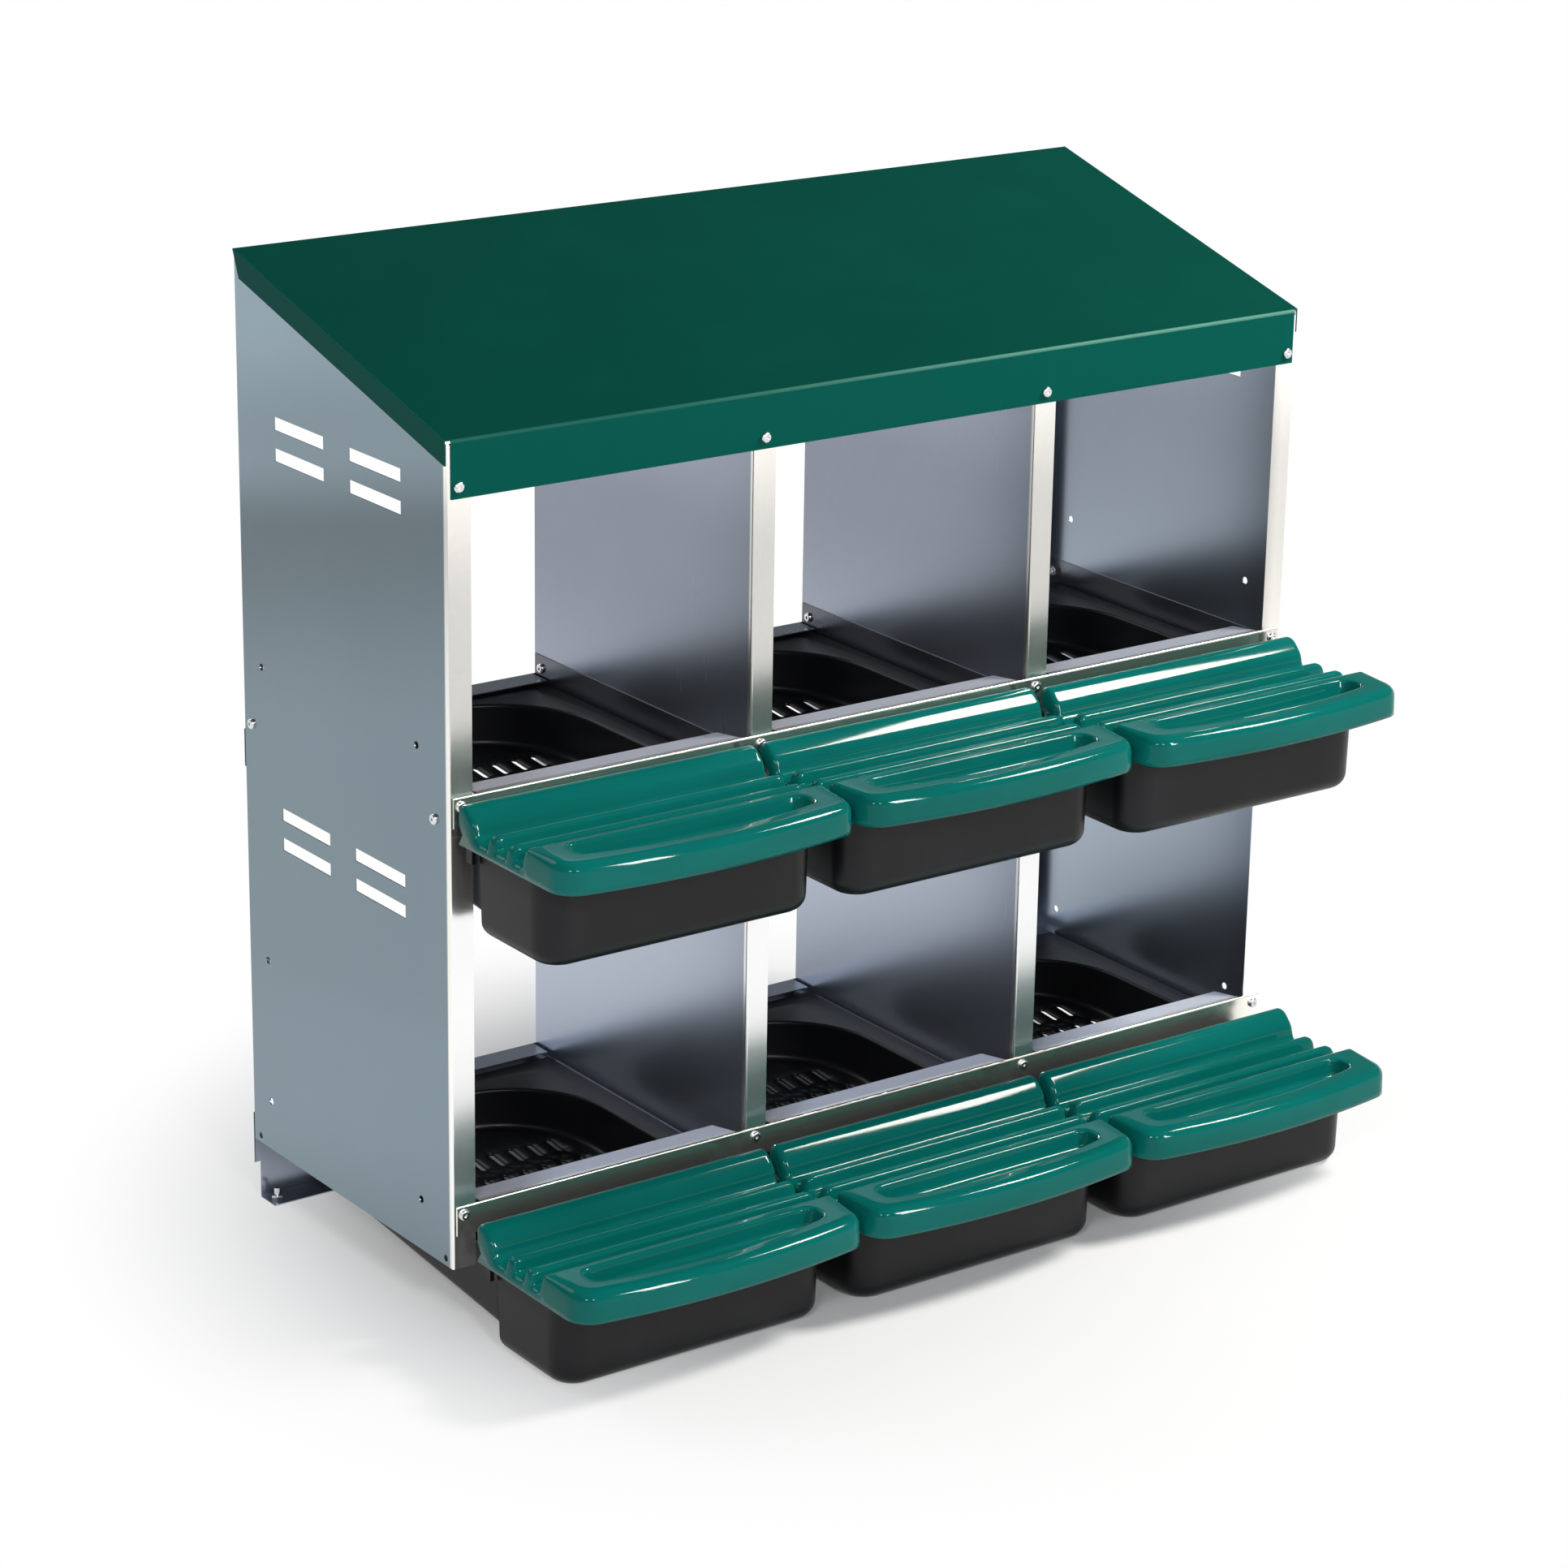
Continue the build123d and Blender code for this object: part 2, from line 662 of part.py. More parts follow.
def main():
    os.makedirs("parts", exist_ok=True)
    write("roof", roof())
    for name, (face, inward) in zip(upright_names, upright_faces):
        make = side_panel if abs(face) == half_width else upright
        write(name, make(face, inward))
    for tier in rim_heights:
        write("front_rail_" + tier, front_rail(tier))
        write("rear_rail_" + tier, rear_rail(tier))
        for bay, name in enumerate(bay_names):
            write(f"runner_{tier}_{name}_a", runner(tier, bay, -1))
            write(f"runner_{tier}_{name}_b", runner(tier, bay, 1))
    tray = nest_tray()
    lid = egg_lid()
    for tier, rim in rim_heights.items():
        for bay, name in enumerate(bay_names):
            pull = tray_play if tier == "lower" else 0.0
            if (tier, name) == ("upper", "right"):
                pull = upper_right_pull
            place = Pos(bay_centres[bay], -ridge_standoff - pull, rim)
            write(f"nest_tray_{tier}_{name}", place * tray)
            write(f"egg_lid_{tier}_{name}", place * lid)
    front = Rot(90, 0, 0)
    rear = Rot(-90, 0, 0)
    sets = {
        "roof": [([(x, front_face, fascia_screw_height) for x in post_screws], front, 2 * sheet)],
        "front_rail": [],
        "rear_rail": [],
    }
    for tier in rim_heights:
        rail_height = rail_top(tier) - rail_screw_drop
        rear_height = rear_lip_top(tier) - rear_screw_drop
        sets["front_rail"].append(([(x, front_face, rail_height) for x in post_screws], front, 2 * sheet))
        sets["rear_rail"].append(([(x, back_face, rear_height) for x in post_screws], rear, 2 * sheet))
    bolt_height = rim_heights["upper"] + runner_bolt_rise
    for name, (face, inward) in zip(upright_names, upright_faces):
        outer_wall = abs(face) == half_width
        head_face = face if outer_wall else face - sheet
        grip = 2 * sheet if outer_wall else 3 * sheet
        turn = Rot(0, -90 * inward, 0)
        sets["runner_" + name] = [([(head_face, y, bolt_height) for y in runner_bolts], turn, grip)]
    for name, rows in sets.items():
        screws = []
        nuts = []
        for places, turn, grip in rows:
            new_screws, new_nuts = fastened(places, turn, grip)
            screws += new_screws
            nuts += new_nuts
        write(name + "_screws", *screws)
        write(name + "_nuts", *nuts)
    bolts, nuts = foot_bolts()
    write("foot_bolts", *bolts)
    write("foot_nuts", *nuts)


if __name__ == "__main__":
    main()
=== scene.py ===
"""Looks of a two-tier chicken nesting box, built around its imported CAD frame.

Piece sizes are millimetres in the piece's own frame: x across, v forward, h above the tray rim.
Meshes are made in metres, in the frame of the CAD part.
"""

import logging
import math
from dataclasses import dataclass, field
from enum import Enum
from typing import Any, List, Mapping, Optional, Sequence, Tuple, Union

import bmesh
import bpy
import numpy as np
from mathutils import Matrix, Vector
from mathutils.geometry import delaunay_2d_cdt


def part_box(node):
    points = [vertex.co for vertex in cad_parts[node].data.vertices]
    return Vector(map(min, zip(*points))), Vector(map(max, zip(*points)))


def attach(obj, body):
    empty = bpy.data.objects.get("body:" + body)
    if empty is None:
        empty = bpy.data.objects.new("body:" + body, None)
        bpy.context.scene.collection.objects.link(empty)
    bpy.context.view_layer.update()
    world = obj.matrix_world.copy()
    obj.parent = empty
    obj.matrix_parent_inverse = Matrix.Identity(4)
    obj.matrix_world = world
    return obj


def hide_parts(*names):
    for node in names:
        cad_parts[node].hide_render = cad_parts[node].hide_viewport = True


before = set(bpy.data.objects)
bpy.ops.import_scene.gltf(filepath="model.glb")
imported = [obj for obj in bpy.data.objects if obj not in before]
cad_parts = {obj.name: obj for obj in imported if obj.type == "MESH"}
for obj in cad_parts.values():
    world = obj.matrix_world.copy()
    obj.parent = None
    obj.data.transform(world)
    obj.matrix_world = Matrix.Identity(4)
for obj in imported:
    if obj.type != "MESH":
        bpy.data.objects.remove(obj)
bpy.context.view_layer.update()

# Metres in a millimetre, the gap in millimetres that a weld closes, and the least angle of a sharp edge.
MM = 0.001
WELD = 0.02
SHARP = math.radians(50.0)
# Factors that mirror plan points (x, v) and points (x, v, h) across the middle of a piece.
MIRROR_PLAN = (-1.0, 1.0)
MIRROR = (-1.0, 1.0, 1.0)
# Factors that turn points (x, v, h) to the CAD frame, whose y runs to the rear.
TO_CAD = (1.0, -1.0, 1.0)
LOG = logging.getLogger("nesting_box")

Colour = Tuple[float, float, float]
Point = Tuple[float, float, float]
Feed = Union["Signal", float, Sequence[float]]


class Tier(Enum):
    """The two rows of nests."""

    LOWER = "lower"
    UPPER = "upper"


class Bay(Enum):
    """The three nests of a row."""

    LEFT = "left"
    MIDDLE = "middle"
    RIGHT = "right"


class Signal:
    """One output socket of a node tree, whose arithmetic adds Math nodes."""

    def __init__(self, graph: "Graph", socket: bpy.types.NodeSocket) -> None:
        """Wraps a socket of the graph."""
        self.graph = graph
        self.socket = socket

    def _math(self, operation: str, first: Feed, second: Feed) -> "Signal":
        """Adds one Math node on two values."""
        return self.graph.node("ShaderNodeMath", {"operation": operation}, {0: first, 1: second})

    def __add__(self, other: Feed) -> "Signal":
        """This value plus another."""
        return self._math("ADD", self, other)

    def __radd__(self, other: Feed) -> "Signal":
        """Another value plus this one."""
        return self._math("ADD", other, self)

    def __sub__(self, other: Feed) -> "Signal":
        """This value less another."""
        return self._math("SUBTRACT", self, other)

    def __rsub__(self, other: Feed) -> "Signal":
        """Another value less this one."""
        return self._math("SUBTRACT", other, self)

    def __mul__(self, other: Feed) -> "Signal":
        """This value times another."""
        return self._math("MULTIPLY", self, other)

    def __rmul__(self, other: Feed) -> "Signal":
        """Another value times this one."""
        return self._math("MULTIPLY", other, self)

    def larger(self, other: Feed) -> "Signal":
        """The larger of this value and another."""
        return self._math("MAXIMUM", self, other)

    def ramp(self, low: float, high: float) -> "Signal":
        """A smooth step that is 0 at low and 1 at high.

        Args:
            low: Value at which the step starts.
            high: Value at which it ends; it may lie below low.

        Returns:
            The step.
        """
        settings = {"interpolation_type": "SMOOTHSTEP"}
        feeds = {"Value": self, "From Min": low, "From Max": high}
        return self.graph.node("ShaderNodeMapRange", settings, feeds)


class Graph:
    """The node tree of one material or of the world."""

    def __init__(self, tree: bpy.types.NodeTree) -> None:
        """Starts from an empty tree."""
        self.tree = tree
        tree.nodes.clear()

    def node(
        self,
        kind: str,
        settings: Mapping[str, Any],
        feeds: Mapping[Union[int, str], Feed],
        output: Union[int, str] = 0,
    ) -> Signal:
        """Adds a node of any type.

        Args:
            kind: Blender's name of the node type.
            settings: Properties, which are set first.
            feeds: Values or signals for the input sockets.
            output: The output socket that is wanted.

        Returns:
            That output.
        """
        made = self.tree.nodes.new(kind)
        for key, value in settings.items():
            setattr(made, key, value)
        for key, value in feeds.items():
            socket = made.inputs[key]
            if isinstance(value, Signal):
                self.tree.links.new(value.socket, socket)
            else:
                socket.default_value = value
        return Signal(self, made.outputs[output])

    def place(self, scale: Point = (1.0, 1.0, 1.0)) -> Signal:
        """Object coordinates, stretched by a scale along each axis."""
        spot = self.node("ShaderNodeTexCoord", {}, {}, "Object")
        return self.node("ShaderNodeMapping", {}, {"Vector": spot, "Scale": scale})

    def axis(self, name: str) -> Signal:
        """One of the object coordinates X, Y or Z, in metres."""
        return self.node("ShaderNodeSeparateXYZ", {}, {"Vector": self.place()}, name)

    def noise(self, scale: Point, detail: float = 3.0) -> Signal:
        """Cloudy noise from 0 to 1 with a scale along each axis, in cycles per metre."""
        feeds = {"Vector": self.place(scale), "Scale": 1.0, "Detail": detail, "Roughness": 0.55}
        return self.node("ShaderNodeTexNoise", {}, feeds)

    def cells(self, scale: float) -> Signal:
        """A random value from 0 to 1 in each crystal cell.

        Args:
            scale: How many cells lie along a metre.

        Returns:
            The value.
        """
        feeds = {"Vector": self.place(), "Scale": scale}
        colour = self.node("ShaderNodeTexVoronoi", {}, feeds, "Color")
        return self.node("ShaderNodeSeparateColor", {}, {"Color": colour})

    def blend(self, share: Feed, first: Feed, second: Feed, kind: str = "MIX") -> Signal:
        """A colour mixed from two, by a share of the second."""
        settings = {"data_type": "RGBA", "blend_type": kind}
        return self.node("ShaderNodeMix", settings, {0: share, 6: first, 7: second}, 2)

    def bump(self, height: Signal, depth: float, strength: float) -> Signal:
        """A normal bent by a height signal, with the depth in millimetres."""
        feeds = {"Height": height, "Distance": depth * MM, "Strength": strength}
        return self.node("ShaderNodeBump", {}, feeds)

    def principled(self, feeds: Mapping[Union[int, str], Feed]) -> Signal:
        """A Principled shader with values or signals on its sockets."""
        return self.node("ShaderNodeBsdfPrincipled", {}, feeds)

    def surface(self, shader: Signal, kind: str = "ShaderNodeOutputMaterial") -> None:
        """Ends the tree in an output node, which has no socket to give back."""
        end = self.tree.nodes.new(kind)
        self.tree.links.new(shader.socket, end.inputs["Surface"])


def rgba(colour: Colour) -> Tuple[float, float, float, float]:
    """A linear colour with full alpha."""
    return (*colour, 1.0)


@dataclass(frozen=True)
class Finish:
    """A surface finish that makes one material and keeps it for every piece that wears it."""

    name: str

    def material(self) -> bpy.types.Material:
        """The finish's material, made on first use.

        Returns:
            The Blender material.
        """
        made = bpy.data.materials.get(self.name)
        if made is None:
            made = bpy.data.materials.new(self.name)
            made.use_nodes = True
            graph = Graph(made.node_tree)
            graph.surface(self.shade(graph))
        return made

    def shade(self, graph: Graph) -> Signal:
        """Adds the finish's nodes and gives its shader."""
        raise NotImplementedError

    def wear(self, piece: bpy.types.Object) -> None:
        """Puts the material on every slot of a piece, or on a new one."""
        if not piece.material_slots:
            piece.data.materials.append(self.material())
        for slot in piece.material_slots:
            slot.material = self.material()


@dataclass(frozen=True)
class Fade:
    """A weight that comes in smoothly between two values of a signal."""

    weight: float
    start: float
    end: float

    def over(self, signal: Signal) -> Signal:
        """The weight times a smooth step of the signal from start to end."""
        return self.weight * signal.ramp(self.start, self.end)


@dataclass(frozen=True)
class GalvanisedSheet(Finish):
    """Zinc-coated sheet: small crystals, fine upright rolling grain and cloudy handling marks.

    Lines and fades are places in metres: across for the skin and the right wall, front to back for
    the flange, and upright for the rest. The skin, inside and flange tones and the fades are
    painted light, painted shade and painted reflection on one sheet.
    """

    # Painted light and shade: one zinc sheet in three tones, a darker outer skin as painted reflected
    # shade, a lighter front flange as painted reflected light, and the inside between.
    inside: Colour = (0.36, 0.40, 0.475)
    outside: Colour = (0.185, 0.245, 0.280)
    flange: Colour = (0.90, 0.88, 0.83)
    skin_line: float = 0.4643
    flange_line: float = -0.0705
    skin_blend: float = 0.0005
    flange_blend: float = 0.003
    crystals_per_metre: float = 260.0
    grain_scale: Point = (900.0, 900.0, 14.0)
    cloud_scale: Point = (5.0, 5.0, 3.5)
    plain_tone: float = 0.91
    crystal_tone: float = 0.02
    grain_tone: float = 0.04
    cloud_tone: float = 0.12
    # Painted light and shade inside: lighter at the top of the upper nests, a painted shade round the upper
    # trays, lighter in the lower nests and on the right wall.
    nest_top: Fade = Fade(0.16, 0.64, 0.82)
    nest_dip: Fade = Fade(-0.24, 0.42, 0.60)
    dip_end: Fade = Fade(1.0, 0.78, 0.66)
    lower_nest: Fade = Fade(0.32, 0.46, 0.36)
    right_wall: Fade = Fade(0.18, 0.440, 0.455)
    # Painted reflection outside: a lighter skin with a dark band that sinks towards the rear, lighter again
    # under the eaves and towards the foot.
    outer_tone: float = 0.06
    band_slope: float = 0.23
    band_start: Fade = Fade(-0.38, 0.52, 0.72)
    band_end: Fade = Fade(0.50, 0.71, 0.78)
    under_eaves: Fade = Fade(0.35, 0.80, 0.90)
    foot: Fade = Fade(0.08, 0.32, 0.24)
    metallic: float = 0.93
    inner_metallic: float = 0.90
    roughness: float = 0.15
    cloud_dulling: float = 0.07
    grain_dulling: float = 0.03
    inner_dulling: float = 0.06
    grain_depth: float = 0.02
    grain_strength: float = 0.05

    def tone_within(self, graph: Graph) -> Signal:
        """Light and shade of the inner faces: lighter low and high, darker round the upper trays.

        Args:
            graph: The material's tree.

        Returns:
            What it adds to the tone.
        """
        height = graph.axis("Z")
        dip = self.nest_dip.over(height) * self.dip_end.over(height)
        light = self.nest_top.over(height) + self.lower_nest.over(height)
        return light + dip + self.right_wall.over(graph.axis("X"))

    def tone_without(self, graph: Graph) -> Signal:
        """Light and shade of the outer faces: a dark band that sinks towards the rear.

        Args:
            graph: The material's tree.

        Returns:
            What it adds to the tone.
        """
        slant = graph.axis("Z") + self.band_slope * graph.axis("Y")
        band = self.band_start.over(slant) + self.band_end.over(slant)
        return self.outer_tone + band + self.under_eaves.over(slant) + self.foot.over(slant)

    def shade(self, graph: Graph) -> Signal:
        """Adds the finish's nodes and gives its shader.

        Args:
            graph: The material's tree.

        Returns:
            The shader.
        """
        crystal = graph.cells(self.crystals_per_metre)
        grain = graph.noise(self.grain_scale, detail=4.0)
        cloud = graph.noise(self.cloud_scale)
        across = graph.axis("X")
        skin = across.larger(-1.0 * across).ramp(self.skin_line - self.skin_blend, self.skin_line)
        front = graph.axis("Y").ramp(self.flange_line + self.flange_blend, self.flange_line)
        outer = skin.larger(front)
        within = self.tone_within(graph)
        marks = self.crystal_tone * crystal + self.grain_tone * grain + self.cloud_tone * cloud
        # The real crystals, grain and cloud add to the painted light and shade: the inner fades inside, the
        # outer fades on the skin.
        tone = self.plain_tone + marks + within + skin * (self.tone_without(graph) - within)
        # The skin takes the darker painted tone and the front flange the lighter one.
        sides = graph.blend(skin, rgba(self.inside), rgba(self.outside))
        plain = graph.blend(front, sides, rgba(self.flange))
        dulling = self.cloud_dulling * cloud + self.grain_dulling * grain
        return graph.principled({
            "Base Color": graph.blend(1.0, plain, tone, "MULTIPLY"),
            "Metallic": self.inner_metallic + (self.metallic - self.inner_metallic) * outer,
            "Roughness": self.roughness + dulling + self.inner_dulling * (1.0 - outer),
            "Normal": graph.bump(grain, self.grain_depth, self.grain_strength),
        })


@dataclass(frozen=True)
class RoofPaint(Finish):
    """Green powder paint on sheet: fine orange peel, a slight mottle, a lighter fascia as painted light,
    and a painted highlight along the front bend.
    """

    colour: Colour = (0.0005, 0.055, 0.039)
    light: Colour = (0.0008, 0.064, 0.047)
    # Painted light: the fascia and the side flanges are the same paint in a lighter tone.
    lit_fascia: Colour = (0.0013, 0.084, 0.066)
    # Painted highlight: a pale line along the front fold, faint on the left and strongest towards the
    # right.
    fold_highlight_colour: Colour = (0.085, 0.240, 0.190)
    fold_line: float = 0.8012
    fascia_line: float = -0.0745
    side_line: float = 0.4659
    blend: float = 0.002
    mottle_scale: Point = (9.0, 9.0, 9.0)
    mottle_fade: Fade = Fade(0.5, 0.35, 0.75)
    least_fold_highlight: float = 0.15
    rub_and_highlight: Fade = Fade(0.85, -0.35, 0.30)
    roughness: float = 0.19
    mottle_dulling: float = 0.10
    specular: float = 0.025
    peel_scale: Point = (420.0, 420.0, 420.0)
    peel_depth: float = 0.12
    peel_strength: float = 0.18

    def shade(self, graph: Graph) -> Signal:
        """Adds the finish's nodes and gives its shader.

        Args:
            graph: The material's tree.

        Returns:
            The shader.
        """
        mottle = graph.noise(self.mottle_scale, detail=4.0)
        peel = graph.noise(self.peel_scale, detail=2.0)
        across, ahead = graph.axis("X"), graph.axis("Y")
        start, half = self.fascia_line + self.blend, self.blend / 2
        front = ahead.ramp(start, self.fascia_line)
        side = across.larger(-1.0 * across).ramp(self.side_line - half, self.side_line)
        top = graph.blend(self.mottle_fade.over(mottle), rgba(self.colour), rgba(self.light))
        # Painted light: the front and side faces take the lighter fascia tone.
        plain = graph.blend(front.larger(side), top, rgba(self.lit_fascia))
        # Painted highlight along the front fold, weighted across from left to right.
        bend = ahead.ramp(start, start - half) * graph.axis("Z").ramp(self.fold_line - half, self.fold_line)
        fold_highlight = bend * (self.least_fold_highlight + self.rub_and_highlight.over(across))
        return graph.principled({
            "Base Color": graph.blend(fold_highlight, plain, rgba(self.fold_highlight_colour)),
            "Roughness": self.roughness + self.mottle_dulling * mottle,
            "Specular IOR Level": self.specular,
            "Normal": graph.bump(peel, self.peel_depth, self.peel_strength),
        })


@dataclass(frozen=True)
class LidPlastic(Finish):
    """Glossy green moulded plastic with faint flow marks along the mould."""

    colour: Colour = (0.0014, 0.122, 0.106)
    flow: Colour = (0.0020, 0.146, 0.129)
    flow_scale: Point = (5.0, 16.0, 16.0)
    flow_fade: Fade = Fade(1.0, 0.3, 0.75)
    scuff_scale: Point = (260.0, 900.0, 400.0)
    roughness: float = 0.025
    flow_dulling: float = 0.04
    scuff_dulling: float = 0.03
    specular: float = 0.13
    ripple_scale: Point = (28.0, 40.0, 40.0)
    ripple_depth: float = 0.25
    ripple_strength: float = 0.06

    def shade(self, graph: Graph) -> Signal:
        """Adds the finish's nodes and gives its shader.

        Args:
            graph: The material's tree.

        Returns:
            The shader.
        """
        flow = graph.noise(self.flow_scale)
        scuff = graph.noise(self.scuff_scale, detail=4.0)
        ripple = graph.noise(self.ripple_scale, detail=2.0)
        return graph.principled({
            "Base Color": graph.blend(self.flow_fade.over(flow), rgba(self.colour), rgba(self.flow)),
            "Roughness": self.roughness + self.flow_dulling * flow + self.scuff_dulling * scuff,
            "Specular IOR Level": self.specular,
            "Normal": graph.bump(ripple, self.ripple_depth, self.ripple_strength),
        })


@dataclass(frozen=True)
class TrayPlastic(Finish):
    """Black satin moulded plastic with a fine leathery grain and pale rub marks."""

    colour: Colour = (0.0055, 0.0057, 0.0070)
    rub_and_highlight: Colour = (0.0100, 0.0102, 0.0124)
    cloud_scale: Point = (11.0, 11.0, 11.0)
    rub_fade: Fade = Fade(1.0, 0.4, 0.8)
    roughness: float = 0.29
    cloud_dulling: float = 0.14
    specular: float = 0.26
    grain_scale: Point = (700.0, 700.0, 700.0)
    grain_depth: float = 0.10
    grain_strength: float = 0.25

    def shade(self, graph: Graph) -> Signal:
        """Adds the finish's nodes and gives its shader.

        Args:
            graph: The material's tree.

        Returns:
            The shader.
        """
        cloud = graph.noise(self.cloud_scale, detail=4.0)
        grain = graph.noise(self.grain_scale, detail=2.0)
        return graph.principled({
            "Base Color": graph.blend(self.rub_fade.over(cloud), rgba(self.colour), rgba(self.rub_and_highlight)),
            "Roughness": self.roughness + self.cloud_dulling * cloud,
            "Specular IOR Level": self.specular,
            "Normal": graph.bump(grain, self.grain_depth, self.grain_strength),
        })


@dataclass(frozen=True)
class ZincPlate(Finish):
    """Bright zinc plate of the screws and nuts, with a little dulling."""

    colour: Colour = (0.78, 0.79, 0.80)
    dull: Colour = (0.52, 0.53, 0.54)
    cloud_scale: Point = (420.0, 420.0, 420.0)
    dull_fade: Fade = Fade(1.0, 0.45, 0.8)
    roughness: float = 0.15
    cloud_dulling: float = 0.15
    pit_depth: float = 0.05
    pit_strength: float = 0.15

    def shade(self, graph: Graph) -> Signal:
        """Adds the finish's nodes and gives its shader.

        Args:
            graph: The material's tree.

        Returns:
            The shader.
        """
        cloud = graph.noise(self.cloud_scale)
        return graph.principled({
            "Base Color": graph.blend(self.dull_fade.over(cloud), rgba(self.colour), rgba(self.dull)),
            "Metallic": 1.0,
            "Roughness": self.roughness + self.cloud_dulling * cloud,
            "Normal": graph.bump(cloud, self.pit_depth, self.pit_strength),
        })


@dataclass(frozen=True)
class PaleFloor(Finish):
    """Pale matt floor that glows white towards the camera and reflections and keeps its shadow.

    The share of the glow grows with the distance from the middle of the box, in metres.
    """

    colour: Colour = (0.90, 0.90, 0.91)
    white: Colour = (1.0, 1.0, 1.0)
    under_glow: float = 0.02
    near_glow: Fade = Fade(0.50, 0.25, 0.60)
    far_glow: Fade = Fade(0.48, 0.45, 0.75)

    def shade(self, graph: Graph) -> Signal:
        """Adds the finish's nodes and gives its shader.

        Args:
            graph: The material's tree.

        Returns:
            The shader.
        """
        matt = graph.node("ShaderNodeBsdfDiffuse", {}, {"Color": rgba(self.colour)})
        white = graph.node("ShaderNodeEmission", {}, {"Color": rgba(self.white), "Strength": 1.0})
        camera = graph.node("ShaderNodeLightPath", {}, {}, "Is Camera Ray")
        glossy = graph.node("ShaderNodeLightPath", {}, {}, "Is Glossy Ray")
        through = graph.node("ShaderNodeLightPath", {}, {}, "Is Transmission Ray")
        seen = camera.larger(glossy).larger(through)
        away = graph.node("ShaderNodeVectorMath", {"operation": "LENGTH"}, {0: graph.place()}, "Value")
        share = seen * (self.under_glow + self.near_glow.over(away) + self.far_glow.over(away))
        return graph.node("ShaderNodeMixShader", {}, {0: share, 1: matt, 2: white})


def quarter(count: int) -> np.ndarray:
    """Evenly spaced angles of a quarter circle, with both its ends."""
    return np.linspace(0.0, math.pi / 2, count)


def circle(count: int) -> np.ndarray:
    """Evenly spaced angles of a whole circle."""
    return np.linspace(0.0, 2 * math.pi, count + 1)[:-1]


def headings(angle: np.ndarray) -> np.ndarray:
    """Unit vectors at the given angles, shape (angles, 2)."""
    return np.stack([np.cos(angle), np.sin(angle)], axis=1)


def plan_line(x: Union[float, np.ndarray], v: Union[float, np.ndarray]) -> np.ndarray:
    """Plan points (x, v) from two rows of coordinates, either of which may be one value."""
    return np.stack(np.broadcast_arrays(x, v), axis=-1)


def halved(start: np.ndarray, end: np.ndarray) -> np.ndarray:
    """Two rows of points on the way from one row to another: halfway there, and there."""
    return start + (end - start) * np.array([0.5, 1.0])[:, None, None]


def raised(plan: np.ndarray, height: Union[float, np.ndarray]) -> np.ndarray:
    """Plan points (x, v) with a height, as points (x, v, h)."""
    return np.concatenate([plan, np.broadcast_to(height, plan.shape[:-1])[..., None]], axis=-1)


def rounded_path(corners: np.ndarray, radii: np.ndarray, steps: int) -> np.ndarray:
    """A polyline whose inner corners are arcs that touch both legs.

    An arc's centre lies on the line that halves its corner, at the radius over the sine of the
    half angle. The arc's points turn evenly from one touching point to the other.

    Args:
        corners: Corner points, shape (n, 2).
        radii: Radius at each inner corner, shape (n - 2,).
        steps: Points along each arc.

    Returns:
        Points of the rounded path, shape (2 + (n - 2) * steps, 2).
    """
    inner = corners[1:-1]
    back = corners[:-2] - inner
    ahead = corners[2:] - inner
    back = back / np.linalg.norm(back, axis=1, keepdims=True)
    ahead = ahead / np.linalg.norm(ahead, axis=1, keepdims=True)
    half = np.arccos(np.clip((back * ahead).sum(axis=1), -1.0, 1.0)) / 2
    halving = back + ahead
    halving = halving / np.linalg.norm(halving, axis=1, keepdims=True)
    centre = inner + halving * (radii / np.sin(half))[:, None]
    start = inner + back * (radii / np.tan(half))[:, None] - centre
    stop = inner + ahead * (radii / np.tan(half))[:, None] - centre
    sweep = (math.pi - 2 * half)[:, None]
    share = np.linspace(0.0, 1.0, steps)[None, :]
    near = np.sin((1 - share) * sweep) / np.sin(sweep)
    far = np.sin(share * sweep) / np.sin(sweep)
    arcs = centre[:, None] + near[..., None] * start[:, None] + far[..., None] * stop[:, None]
    return np.concatenate([corners[:1], arcs.reshape(-1, 2), corners[-1:]])


def path_normals(path: np.ndarray) -> np.ndarray:
    """Unit normals of a path: at each point, the line between its neighbours turned to the left.

    Args:
        path: Points of the path, shape (n, 2).

    Returns:
        The normals, shape (n, 2).
    """
    run = np.empty_like(path)
    run[1:-1] = path[2:] - path[:-2]
    run[0] = path[1] - path[0]
    run[-1] = path[-1] - path[-2]
    run = run / np.linalg.norm(run, axis=1, keepdims=True)
    return np.stack([-run[:, 1], run[:, 0]], axis=1)


def bowed_front(
    half: float, corner: float, nose: float, radius: float, turn: int, across: int
) -> Tuple[np.ndarray, np.ndarray]:
    """Front of a plan outline: a corner arc, one long bow and the other corner arc.

    The bow is the circle through both corners and the nose, so its radius is half squared plus
    sag squared, over twice the sag. A corner circle touches the side and the bow from inside.

    Args:
        half: Half of the width.
        corner: How far forward the sharp corners would lie.
        nose: How far forward the middle lies.
        radius: Radius of the corner arcs.
        turn: Points on each corner arc.
        across: Points along the bow.

    Returns:
        Points (x, v) from the right side to the left side, and their outward normals.
    """
    sag = nose - corner
    bow = (half**2 + sag**2) / (2 * sag)
    middle = nose - bow
    corner_x = half - radius
    corner_v = middle + math.sqrt((bow - radius) ** 2 - corner_x**2)
    reach = math.atan2(corner_v - middle, corner_x)
    angles = np.concatenate([
        np.linspace(0.0, reach, turn),
        np.linspace(reach, math.pi - reach, across + 2)[1:-1],
        np.linspace(math.pi - reach, math.pi, turn),
    ])
    counts = [turn, across, turn]
    normals = headings(angles)
    centres = np.repeat([[corner_x, corner_v], [0.0, middle], [-corner_x, corner_v]], counts, axis=0)
    reaches = np.repeat([radius, bow, radius], counts)
    return centres + normals * reaches[:, None], normals


